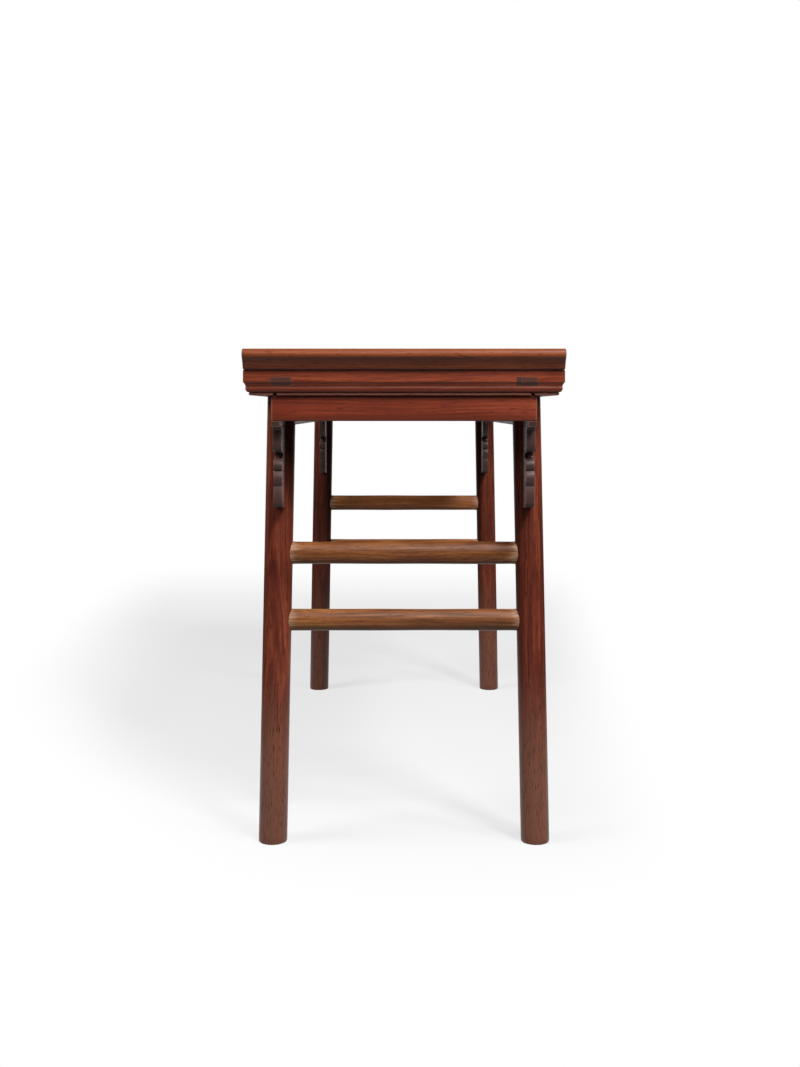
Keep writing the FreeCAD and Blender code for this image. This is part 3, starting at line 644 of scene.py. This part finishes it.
# The pith runs this far off the table's middle, across the grain
PITH = (45.0 * MM, 60.0 * MM)
END_GRAIN = "#472b23"
# Near black: the tone of dirt in corners, and of painted shade there
GRIME_AND_SHADE = "#170b08"


def figure(tree, place, grain, pith):
    """The wood's figure: its tone from dark 0 to light 1, its fibres, its broad streaks and its pores.

    The tone is the sum of the rings and of the noises about their means, each by its weight. The pith
    stands off the piece, so that the rings are cut as long flames.
    """
    turned = add(tree, "ShaderNodeMapping", {"Vector": place.outputs["Object"], "Rotation": TURNS[grain]})
    squeezed = add(tree, "ShaderNodeVectorMath", {0: turned.outputs[0], 1: (1.0, 1.0, STRAY_SQUEEZE)},
                   operation="MULTIPLY")
    stray = add(tree, "ShaderNodeTexNoise",
                {"Vector": squeezed.outputs[0], "Scale": STRAYS_PER_METRE, "Detail": 2.0})
    centred = add(tree, "ShaderNodeVectorMath", {0: stray.outputs["Color"], 1: (0.5, 0.5, 0.5)},
                  operation="SUBTRACT")
    strayed = add(tree, "ShaderNodeVectorMath",
                  {0: centred.outputs[0], 1: (STRAY, STRAY, 0.0), 2: turned.outputs[0]},
                  operation="MULTIPLY_ADD")
    off_pith = add(tree, "ShaderNodeVectorMath", {0: strayed.outputs[0], 1: (*pith, 0.0)}, operation="ADD")
    rings = add(tree, "ShaderNodeTexWave",
                {"Vector": off_pith.outputs[0], "Scale": math.pi / 10.0 / RING_WIDTH, "Distortion": 1.5,
                 "Detail": 3.0, "Detail Scale": 0.6, "Detail Roughness": 0.6},
                wave_type="RINGS", rings_direction="Z", wave_profile="SIN")
    drawn = add(tree, "ShaderNodeVectorMath", {0: strayed.outputs[0], 1: (1.0, 1.0, FIBRE_SQUEEZE)},
                operation="MULTIPLY")
    fibres = add(tree, "ShaderNodeTexNoise",
                 {"Vector": drawn.outputs[0], "Scale": 1.0 / FIBRE_WIDTH, "Detail": 5.0, "Roughness": 0.62})
    streaks = add(tree, "ShaderNodeTexNoise",
                  {"Vector": drawn.outputs[0], "Scale": STREAKS_PER_METRE, "Detail": 2.0})
    clouds = add(tree, "ShaderNodeTexNoise",
                 {"Vector": turned.outputs[0], "Scale": CLOUDS_PER_METRE, "Detail": 3.0})
    pore_lines = add(tree, "ShaderNodeVectorMath", {0: turned.outputs[0], 1: (1.0, 1.0, PORE_SQUEEZE)},
                     operation="MULTIPLY")
    spots = add(tree, "ShaderNodeTexNoise",
                {"Vector": pore_lines.outputs[0], "Scale": PORES_PER_METRE, "Detail": 1.0})
    pores = add(tree, "ShaderNodeMapRange",
                {"Value": spots.outputs["Fac"], "From Min": PORE_RANGE[0], "From Max": PORE_RANGE[1]})
    total = add(tree, "ShaderNodeMath", {0: rings.outputs["Fac"], 1: RING_WEIGHT}, operation="MULTIPLY")
    for noise, weight in ((fibres, FIBRE_WEIGHT), (streaks, STREAK_WEIGHT), (clouds, CLOUD_WEIGHT)):
        spread = add(tree, "ShaderNodeMath", {0: noise.outputs["Fac"], 1: 0.5}, operation="SUBTRACT")
        total = add(tree, "ShaderNodeMath", {0: spread.outputs[0], 1: weight, 2: total.outputs[0]},
                    operation="MULTIPLY_ADD")
    tone = add(tree, "ShaderNodeMapRange",
               {"Value": total.outputs[0], "From Min": TONE_RANGE[0], "From Max": TONE_RANGE[1]})
    return tone.outputs[0], fibres.outputs["Fac"], streaks.outputs["Fac"], pores.outputs[0]


# How far a streak carries a band's border up or down, as a share of the band's fade
BAND_RAGGED = 0.7
# How far the fibres carry the border of a bar's pale tips, rubbed and with a painted highlight, and how
# full the tips' tone gets
TIP_RAGGED = 60.0 * MM
TIP_SHARE = 0.75


def worn_and_painted_layers(tree, place, fibres, streaks, bands, worn_and_highlight_tips):
    """Where wear changed the tone and where light and shade are painted, as (share, tone) pairs, from the
    places in the table.

    A band, (start, stop, tone, share), comes in between its two heights above the floor and goes on past
    the second. The tips, (start, stop, tone), are the pale ends of a bar, rubbed and with a painted
    highlight, from one distance off the table's middle to the other. Each noise is 0.5 in the mean, so half
    its reach is added to both limits.
    """
    spot = add(tree, "ShaderNodeSeparateXYZ", {0: place.outputs["Object"]})
    layers = []
    # Bands by height: some are wear, some are painted light and shade
    for start, stop, tone, share in bands:
        ragged = abs(stop - start) * BAND_RAGGED
        height = add(tree, "ShaderNodeMath", {0: streaks, 1: ragged, 2: spot.outputs["Z"]},
                     operation="MULTIPLY_ADD")
        reached = add(tree, "ShaderNodeMapRange",
                      {"Value": height.outputs[0], "From Min": start + ragged / 2.0,
                       "From Max": stop + ragged / 2.0, "To Max": share}, interpolation_type="SMOOTHSTEP")
        layers.append((reached.outputs[0], tone))
    # The pale tips of a bar: rubbed wear with a painted highlight on it
    if worn_and_highlight_tips:
        start, stop, tone = worn_and_highlight_tips
        aside = add(tree, "ShaderNodeMath", {0: spot.outputs["Y"]}, operation="ABSOLUTE")
        aside = add(tree, "ShaderNodeMath", {0: fibres, 1: TIP_RAGGED, 2: aside.outputs[0]},
                    operation="MULTIPLY_ADD")
        paler_share = add(tree, "ShaderNodeMapRange",
                     {"Value": aside.outputs[0], "From Min": start + TIP_RAGGED / 2.0,
                      "From Max": stop + TIP_RAGGED / 2.0, "To Max": TIP_SHARE},
                     interpolation_type="SMOOTHSTEP")
        layers.append((paler_share.outputs[0], tone))
    return layers


def hardwood(name, grain, tones, end_tone=END_GRAIN, pith=PITH, polish=POLISH, bands=(), worn_and_highlight_tips=None,
             worn_edge=None, faces=None):
    """Rosewood, planed and waxed, with its grain along the axis given.

    The tones are dark, middle and light, and end grain has its own. Bands and tips are places of wear and
    of painted light and shade, and worn_edge is the tone of rubbed arrises. A board with its faces given as
    an axis has all of its sawn outline in the end tone. The polish is the roughness between the fibres.
    """
    finish = bpy.data.materials.new(name)
    tree = empty_tree(finish)
    place = add(tree, "ShaderNodeTexCoord")
    tone, fibres, streaks, pores = figure(tree, place, grain, pith)
    ramp = add(tree, "ShaderNodeValToRGB", {"Fac": tone})
    stops = ramp.color_ramp.elements
    stops.new(TONE_STOPS[1])
    for stop, position, code in zip(stops, TONE_STOPS, tones):
        stop.position, stop.color = position, linear(code)

    # The normal's part along the grain, or across a board's faces, finds the places that were cut across
    facing = add(tree, "ShaderNodeMapping",
                 {"Vector": place.outputs["Normal"], "Rotation": TURNS[faces or grain]},
                 vector_type="NORMAL")
    parts = add(tree, "ShaderNodeSeparateXYZ", {0: facing.outputs[0]})
    along = add(tree, "ShaderNodeMath", {0: parts.outputs["Z"]}, operation="ABSOLUTE")
    start, stop = SAWN_RANGE if faces else END_GRAIN_RANGE
    cut_across = add(tree, "ShaderNodeMapRange",
                     {"Value": along.outputs[0], "From Min": start, "From Max": stop,
                      "To Max": END_TONE_SHARE})
    # Dark corners: old wax and dirt, and painted shade in the recesses where parts meet
    crevice = add(tree, "ShaderNodeAmbientOcclusion", {"Distance": GRIME_AND_SHADE_REACH}, samples=4)
    grime_and_shade = add(tree, "ShaderNodeMapRange",
                {"Value": crevice.outputs["AO"], "From Min": GRIME_AND_SHADE_RANGE[0], "From Max": GRIME_AND_SHADE_RANGE[1],
                 "To Min": GRIME_AND_SHADE_SHARE, "To Max": 0.0})
    layers = worn_and_painted_layers(tree, place, fibres, streaks, bands, worn_and_highlight_tips)
    layers += [(pores, tones[0]), (cut_across.outputs[0], end_tone), (grime_and_shade.outputs[0], GRIME_AND_SHADE)]
    if worn_edge:
        arris = add(tree, "ShaderNodeAmbientOcclusion", {"Distance": WEAR_REACH}, samples=4, inside=True,
                    only_local=True)
        paler_share = add(tree, "ShaderNodeMapRange",
                     {"Value": arris.outputs["AO"], "From Min": WEAR_RANGE[0], "From Max": WEAR_RANGE[1],
                      "To Min": WEAR_SHARE, "To Max": 0.0})
        layers.append((paler_share.outputs[0], worn_edge))
    colour = ramp.outputs["Color"]
    for share, code in layers:
        colour = add(tree, "ShaderNodeMix", {0: share, 6: colour, 7: linear(code)},
                     data_type="RGBA").outputs[2]

    # Dense fibres take a better polish, and the corners of grime and painted shade are dull
    sheen = add(tree, "ShaderNodeMapRange",
                {"Value": fibres, "From Min": FIBRE_RANGE[0], "From Max": FIBRE_RANGE[1],
                 "To Min": polish + POLISH_SPREAD[0], "To Max": polish + POLISH_SPREAD[1]})
    rough = add(tree, "ShaderNodeMath", {0: grime_and_shade.outputs[0], 1: GRIME_AND_SHADE_ROUGHNESS, 2: sheen.outputs[0]},
                operation="MULTIPLY_ADD")
    relief = add(tree, "ShaderNodeMath", {0: pores, 1: -1.0, 2: fibres}, operation="MULTIPLY_ADD")
    bump = add(tree, "ShaderNodeBump",
               {"Strength": RELIEF_STRENGTH, "Distance": RELIEF, "Height": relief.outputs[0]})
    shader = add(tree, "ShaderNodeBsdfPrincipled",
                 {"Base Color": colour, "Roughness": rough.outputs[0], "Normal": bump.outputs[0],
                  "IOR": WAX_IOR, "Specular IOR Level": WAX_SPECULAR})
    add(tree, "ShaderNodeOutputMaterial", {"Surface": shader.outputs[0]})
    return finish


RED = ("#4d1c10", "#6e2d1c", "#8a4029")
DARK = ("#2a1a16", "#3c2822", "#4d372f")
RUBBED_ARRIS = "#8a5c4a"

# Chinese rosewood, a dense red-brown hardwood, planed by hand, waxed and rubbed for years. The eye gets a
# satin sheen that runs with the fibres, fine dark pores, and arrises worn paler than the faces.
woods = {
    # A flat-sawn board, wiped more than the rest: warmer, with wide flames
    "panel_wood": hardwood("waxed_rosewood_panel", "x", ("#4d1f10", "#763820", "#95532f"),
                           pith=(300.0 * MM, 50.0 * MM)),
    # Quarter-sawn members: a quiet, straight red-brown
    "rail_wood": hardwood("waxed_rosewood_rail", "x", RED, worn_edge=RUBBED_ARRIS),
    # Short members, handled most. From the top: a painted highlight on the joint's arris, painted shade on
    # the round below the hollow, which ends there, and a painted highlight on the lip
    "end_wood": hardwood("waxed_rosewood_end", "y", ("#54200f", "#76331f", "#92482c"), worn_edge="#7a4230",
                         bands=((0.7915, 0.793, "#9a6a5a", 0.55), (0.7695, 0.768, "#3a160c", 0.5),
                                (0.7628, 0.7615, "#76331f", 0.7), (0.7575, 0.756, "#9a6a5c", 0.6))),
    # The roll is painted lighter, orange-brown: painted light where it faces the lamps. Its crest is
    # painted darker, painted shade, and the flare under the roll keeps the browner tone
    "flange_wood": hardwood("waxed_rosewood_flange", "y", ("#52240f", "#78371c", "#94522c"),
                            worn_edge=RUBBED_ARRIS,
                            bands=((0.8118, 0.8126, "#94502c", 0.35), (0.818, 0.8225, "#5c2b16", 0.6))),
    # The long aprons' sawn ends soaked up the wax and went nearly black
    "apron_wood": hardwood("waxed_rosewood_apron", "x", RED, end_tone="#2b2220", worn_edge=RUBBED_ARRIS),
    # Red boards that darken towards the lower edge
    "end_apron_wood": hardwood("waxed_rosewood_end_apron", "y", ("#501c0f", "#6f2c1a", "#8a3f28"),
                               worn_edge=RUBBED_ARRIS, bands=((0.727, 0.7135, "#481a0e", 0.7),)),
    # Planed but hardly waxed, because nobody sees it: dull brown
    "batten_wood": hardwood("planed_rosewood_batten", "y", DARK, polish=DULL),
    # Boards with waxed red faces and a sawn outline that stays grey-brown
    "spandrel_wood": hardwood("waxed_rosewood_spandrel", "x", RED, end_tone="#3a2d2b", worn_edge="#806458",
                              faces="y"),
    # Dark red-brown, and greyer towards the feet, where wet floors took the wax off
    "leg_wood": hardwood("waxed_rosewood_leg", "z", ("#300e08", "#572316", "#80402a"),
                         bands=((0.32, 0.1, "#6c4838", 0.7),)),
    # Feet and cloths rubbed the bars to golden brown. Their pale tips at the legs are rubbed, with a
    # painted highlight on them. The upper bars take a darker copy of the wood, painted shade from the top
    # above them
    "upper_stretcher_wood_painted_shade": hardwood("waxed_rosewood_stretcher_painted_shade", "y", ("#3c2212", "#66391d", "#8a552c"),
                                     worn_and_highlight_tips=(0.175, 0.195, "#a88468")),
    "stretcher_wood": hardwood("rubbed_rosewood_stretcher", "y", ("#462816", "#744526", "#9a6636"),
                               worn_and_highlight_tips=(0.18, 0.2, "#a88468")),
    # The bars at the far end take a paler copy of the wood: painted light, where the lamps leave them in
    # shade
    "far_stretcher_wood_painted_light": hardwood("rubbed_rosewood_stretcher_painted_light", "y", ("#6b4022", "#985c33", "#ba7d4c"),
                                   worn_and_highlight_tips=(0.175, 0.195, "#b8947a")),
    # End grain only: dark and flat
    "wedge_wood": hardwood("sawn_rosewood_wedge", "x", DARK),
}

# The pieces that keep the solids' form: each node's wood and the record's material slot
EASED = {
    "top_panel": ("panel_wood", "panel_wood"),
    "front_frame_rail": ("rail_wood", "frame_wood"),
    "back_frame_rail": ("rail_wood", "frame_wood"),
    "front_apron": ("apron_wood", "apron_wood"),
    "back_apron": ("apron_wood", "apron_wood"),
    "tenon_wedges": ("wedge_wood", "wedge_wood"),
}
EASED.update({f"{end}_frame_end": ("end_wood", "frame_wood") for end in ENDS})
EASED.update({f"{end}_end_apron": ("end_apron_wood", "apron_wood") for end in ENDS})
EASED.update({f"panel_batten_{number}": ("batten_wood", "batten_wood") for number in (1, 2, 3)})

STRETCHER_WOODS = {
    "right": {"upper": "upper_stretcher_wood_painted_shade", "lower": "stretcher_wood"},
    "left": {"upper": "far_stretcher_wood_painted_light", "lower": "far_stretcher_wood_painted_light"},
}


def dress_table():
    """Every piece in its finish: eased joinery, and shaped legs, boards, stretchers and flanges."""
    for node, (wood, slot) in EASED.items():
        eased_piece(node, woods[wood])
    for end in ENDS:
        shape_flange(end, woods["flange_wood"])
        for level, wood in STRETCHER_WOODS[end].items():
            shape_stretcher(end, level, woods[wood])
        for side in SIDES:
            shape_leg(end, side, woods["leg_wood"])
            shape_cloud_board(end, side, woods["spandrel_wood"])


# The studio: camera, lamps, background and floor. Pixel places are in the photograph's 800 x 1067 frame.

IMAGE_WIDTH = 800.0
IMAGE_HEIGHT = 1067.0
FOCAL_PIXELS = 1250.0
VANISHING_X = 404.0
HORIZON_Y = 409.0
EYE_HEIGHT = 0.731
EYE_TO_NEAR_FEET = 2.118
SENSOR = 36.0


def place_camera():
    """A level camera on the table's long axis. Shift puts the vanishing point and horizon in place."""
    data = bpy.data.cameras.new("camera")
    data.sensor_width = SENSOR
    data.lens = SENSOR * FOCAL_PIXELS / IMAGE_HEIGHT
    data.shift_x = (IMAGE_WIDTH / 2.0 - VANISHING_X) / IMAGE_HEIGHT
    data.shift_y = (HORIZON_Y - IMAGE_HEIGHT / 2.0) / IMAGE_HEIGHT
    camera = bpy.data.objects.new("camera", data)
    camera.location = (FLOOR_POINTS["back_right_foot"][0] + EYE_TO_NEAR_FEET, 0.0, EYE_HEIGHT)
    camera.rotation_euler = (math.radians(90.0), 0.0, math.radians(90.0))
    bpy.context.scene.collection.objects.link(camera)
    bpy.context.scene.camera = camera


# Soft boxes that aim at the near end. The high one lights the end face and throws the shadows on the floor,
# the low one fills the face, and one box each side lights the legs and the long sides. Together they show
# a surface that faces the camera at about the level of its written colour.
LAMP_AIM = (0.65, 0.0, 0.55)
LAMPS = {
    "front_right_box": {"azimuth": 37.0, "elevation": 50.5, "distance": 5.0, "size": 0.9, "power": 258.0},
    "low_front_box": {"azimuth": 6.0, "elevation": 37.0, "distance": 4.5, "size": 1.2, "power": 80.0},
    "right_box": {"azimuth": 62.0, "elevation": 34.0, "distance": 4.5, "size": 1.0, "power": 90.0},
    "left_box": {"azimuth": -76.0, "elevation": 45.0, "distance": 4.0, "size": 1.8, "power": 160.0},
}


def lamp(name, azimuth, elevation, distance, size, power):
    """A square area lamp that faces the aim from a distance, an azimuth from +X and an elevation."""
    turn, climb = math.radians(azimuth), math.radians(elevation)
    away = np.array([math.cos(climb) * math.cos(turn), math.cos(climb) * math.sin(turn), math.sin(climb)])
    data = bpy.data.lights.new(name, "AREA")
    data.shape = "SQUARE"
    data.size = size
    data.energy = power
    made = bpy.data.objects.new(name, data)
    made.location = np.array(LAMP_AIM) + distance * away
    made.rotation_euler = (math.radians(90.0) - climb, 0.0, turn + math.radians(90.0))
    bpy.context.scene.collection.objects.link(made)


# Strengths of the world: what it adds to all surfaces, and how bright the room is in reflections
AMBIENT = 0.03
REFLECTED_ROOM = 0.1


def seen_in_surfaces(tree, path):
    """1 on a glossy or a transmission ray, so that gloss and glass show the background too."""
    rays = {0: path.outputs["Is Glossy Ray"], 1: path.outputs["Is Transmission Ray"]}
    return add(tree, "ShaderNodeMath", rays, operation="MAXIMUM").outputs[0]


def light_the_room():
    """World light: white to the camera, and a plain dim room to everything else."""
    world = bpy.data.worlds.new("room")
    bpy.context.scene.world = world
    tree = empty_tree(world)
    path = add(tree, "ShaderNodeLightPath")
    dim = add(tree, "ShaderNodeMapRange",
              {"Value": seen_in_surfaces(tree, path), "To Min": AMBIENT, "To Max": REFLECTED_ROOM})
    strength = add(tree, "ShaderNodeMix", {0: path.outputs["Is Camera Ray"], 2: dim.outputs[0], 3: 1.0})
    light = add(tree, "ShaderNodeBackground", {"Color": WHITE, "Strength": strength.outputs[0]})
    add(tree, "ShaderNodeOutputWorld", {"Surface": light.outputs[0]})


# White paper, matt and rolled out: the camera sees plain white with a share of the lit paper in it, which
# is the soft shadow. In the wood the lit sheet near the table shows bright. It throws little light back.
FLOOR_RADIUS = 14.0
FLOOR_CORNERS = 65
PAPER = 0.48
SHADOW_SHARE = 0.33
REFLECTED_SHEET = 1.0
BOUNCE = 0.05
# Half planes of the floor as (x, y, edge, fade): inside them x * X + y * Y passes the edge, over the fade.
# The shadow shows inside the first, and the bright sheet inside the second, which end near the table.
SHADE_BOUNDS = (
    (-0.6, 1.0, -0.62, 0.4),
    (-0.1, 1.0, -0.84, 0.4),
    (-0.1, -1.0, -0.4, 0.3),
    (-1.0, 0.0, -0.72, 0.4),
    (1.0, 0.0, -2.3, 1.8),
)
SHEET_BOUNDS = (
    (1.0, 0.0, -1.2, 0.6),
    (-1.0, 0.0, -1.7, 0.5),
    (0.0, 1.0, -0.9, 0.4),
    (0.0, -1.0, -0.9, 0.4),
)


def inside(tree, place, bounds, share):
    """The share, kept inside the half planes of the floor and run out to nothing beyond them."""
    for x, y, edge, fade in bounds:
        crossing = add(tree, "ShaderNodeVectorMath", {0: place, 1: (x, y, 0.0)}, operation="DOT_PRODUCT")
        kept = add(tree, "ShaderNodeMapRange",
                   {"Value": crossing.outputs["Value"], "From Min": edge - fade / 2.0,
                    "From Max": edge + fade / 2.0}, interpolation_type="SMOOTHSTEP")
        share = add(tree, "ShaderNodeMath", {0: kept.outputs[0], 1: share}, operation="MULTIPLY").outputs[0]
    return share


def lay_floor():
    """A floor disc that shows soft shadows near the table and runs out to plain white around it.

    Its points are radius * (cos a, sin a, 0), at the radii 0 and FLOOR_RADIUS.
    """
    finish = bpy.data.materials.new("white_paper_floor")
    tree = empty_tree(finish)
    place = add(tree, "ShaderNodeTexCoord").outputs["Object"]
    path = add(tree, "ShaderNodeLightPath")
    level = add(tree, "ShaderNodeMapRange",
                {"Value": inside(tree, place, SHEET_BOUNDS, 1.0), "To Min": REFLECTED_ROOM,
                 "To Max": REFLECTED_SHEET})
    paper = add(tree, "ShaderNodeBsdfDiffuse", {"Color": (PAPER, PAPER, PAPER, 1.0)})
    bounce = add(tree, "ShaderNodeBsdfDiffuse", {"Color": (BOUNCE, BOUNCE, BOUNCE, 1.0)})
    white = add(tree, "ShaderNodeEmission", {"Color": WHITE, "Strength": 1.0})
    sheet = add(tree, "ShaderNodeEmission", {"Color": WHITE, "Strength": level.outputs[0]})
    shade = inside(tree, place, SHADE_BOUNDS, SHADOW_SHARE)
    shown = add(tree, "ShaderNodeMixShader", {0: shade, 1: white.outputs[0], 2: paper.outputs[0]})
    unseen = add(tree, "ShaderNodeMixShader",
                 {0: seen_in_surfaces(tree, path), 1: bounce.outputs[0], 2: sheet.outputs[0]})
    mixed = add(tree, "ShaderNodeMixShader",
                {0: path.outputs["Is Camera Ray"], 1: unseen.outputs[0], 2: shown.outputs[0]})
    add(tree, "ShaderNodeOutputMaterial", {"Surface": mixed.outputs[0]})
    turn = np.linspace(0.0, 2.0 * math.pi, FLOOR_CORNERS)
    radius = np.array([0.0, FLOOR_RADIUS])[:, None]
    grid = np.stack([radius * np.cos(turn), radius * np.sin(turn), 0.0 * radius * turn], -1)
    mesh = bpy.data.meshes.new("floor")
    mesh.from_pydata(grid.reshape(-1, 3), [], quads(2, FLOOR_CORNERS, 0))
    weld_and_turn_outwards(mesh)
    mesh.materials.append(finish)
    floor = bpy.data.objects.new("floor", mesh)
    bpy.context.scene.collection.objects.link(floor)


BACKDROP = {"behind": 6.0, "half_width": 5.0, "height": 4.0}


def hang_backdrop():
    """A white sheet far behind the table, for the pale sheen on the inner faces of the long aprons.

    It is plain white to the eye and in reflections, and lights nothing.
    """
    finish = bpy.data.materials.new("white_paper_backdrop")
    tree = empty_tree(finish)
    path = add(tree, "ShaderNodeLightPath")
    seen = add(tree, "ShaderNodeMath", {0: path.outputs["Is Camera Ray"], 1: seen_in_surfaces(tree, path)},
               operation="MAXIMUM")
    clear = add(tree, "ShaderNodeBsdfTransparent")
    white = add(tree, "ShaderNodeEmission", {"Color": WHITE, "Strength": 1.0})
    mixed = add(tree, "ShaderNodeMixShader", {0: seen.outputs[0], 1: clear.outputs[0], 2: white.outputs[0]})
    add(tree, "ShaderNodeOutputMaterial", {"Surface": mixed.outputs[0]})
    x, half, top = -BACKDROP["behind"], BACKDROP["half_width"], BACKDROP["height"]
    mesh = bpy.data.meshes.new("backdrop")
    corners = [(x, -half, 0.0), (x, half, 0.0), (x, half, top), (x, -half, top)]
    mesh.from_pydata(corners, [], [(0, 1, 2, 3)])
    mesh.materials.append(finish)
    backdrop = bpy.data.objects.new("backdrop", mesh)
    bpy.context.scene.collection.objects.link(backdrop)


dress_table()
place_camera()
for box, settings in LAMPS.items():
    lamp(box, **settings)
light_the_room()
lay_floor()
hang_backdrop()

bpy.context.scene.view_settings.view_transform = "Standard"
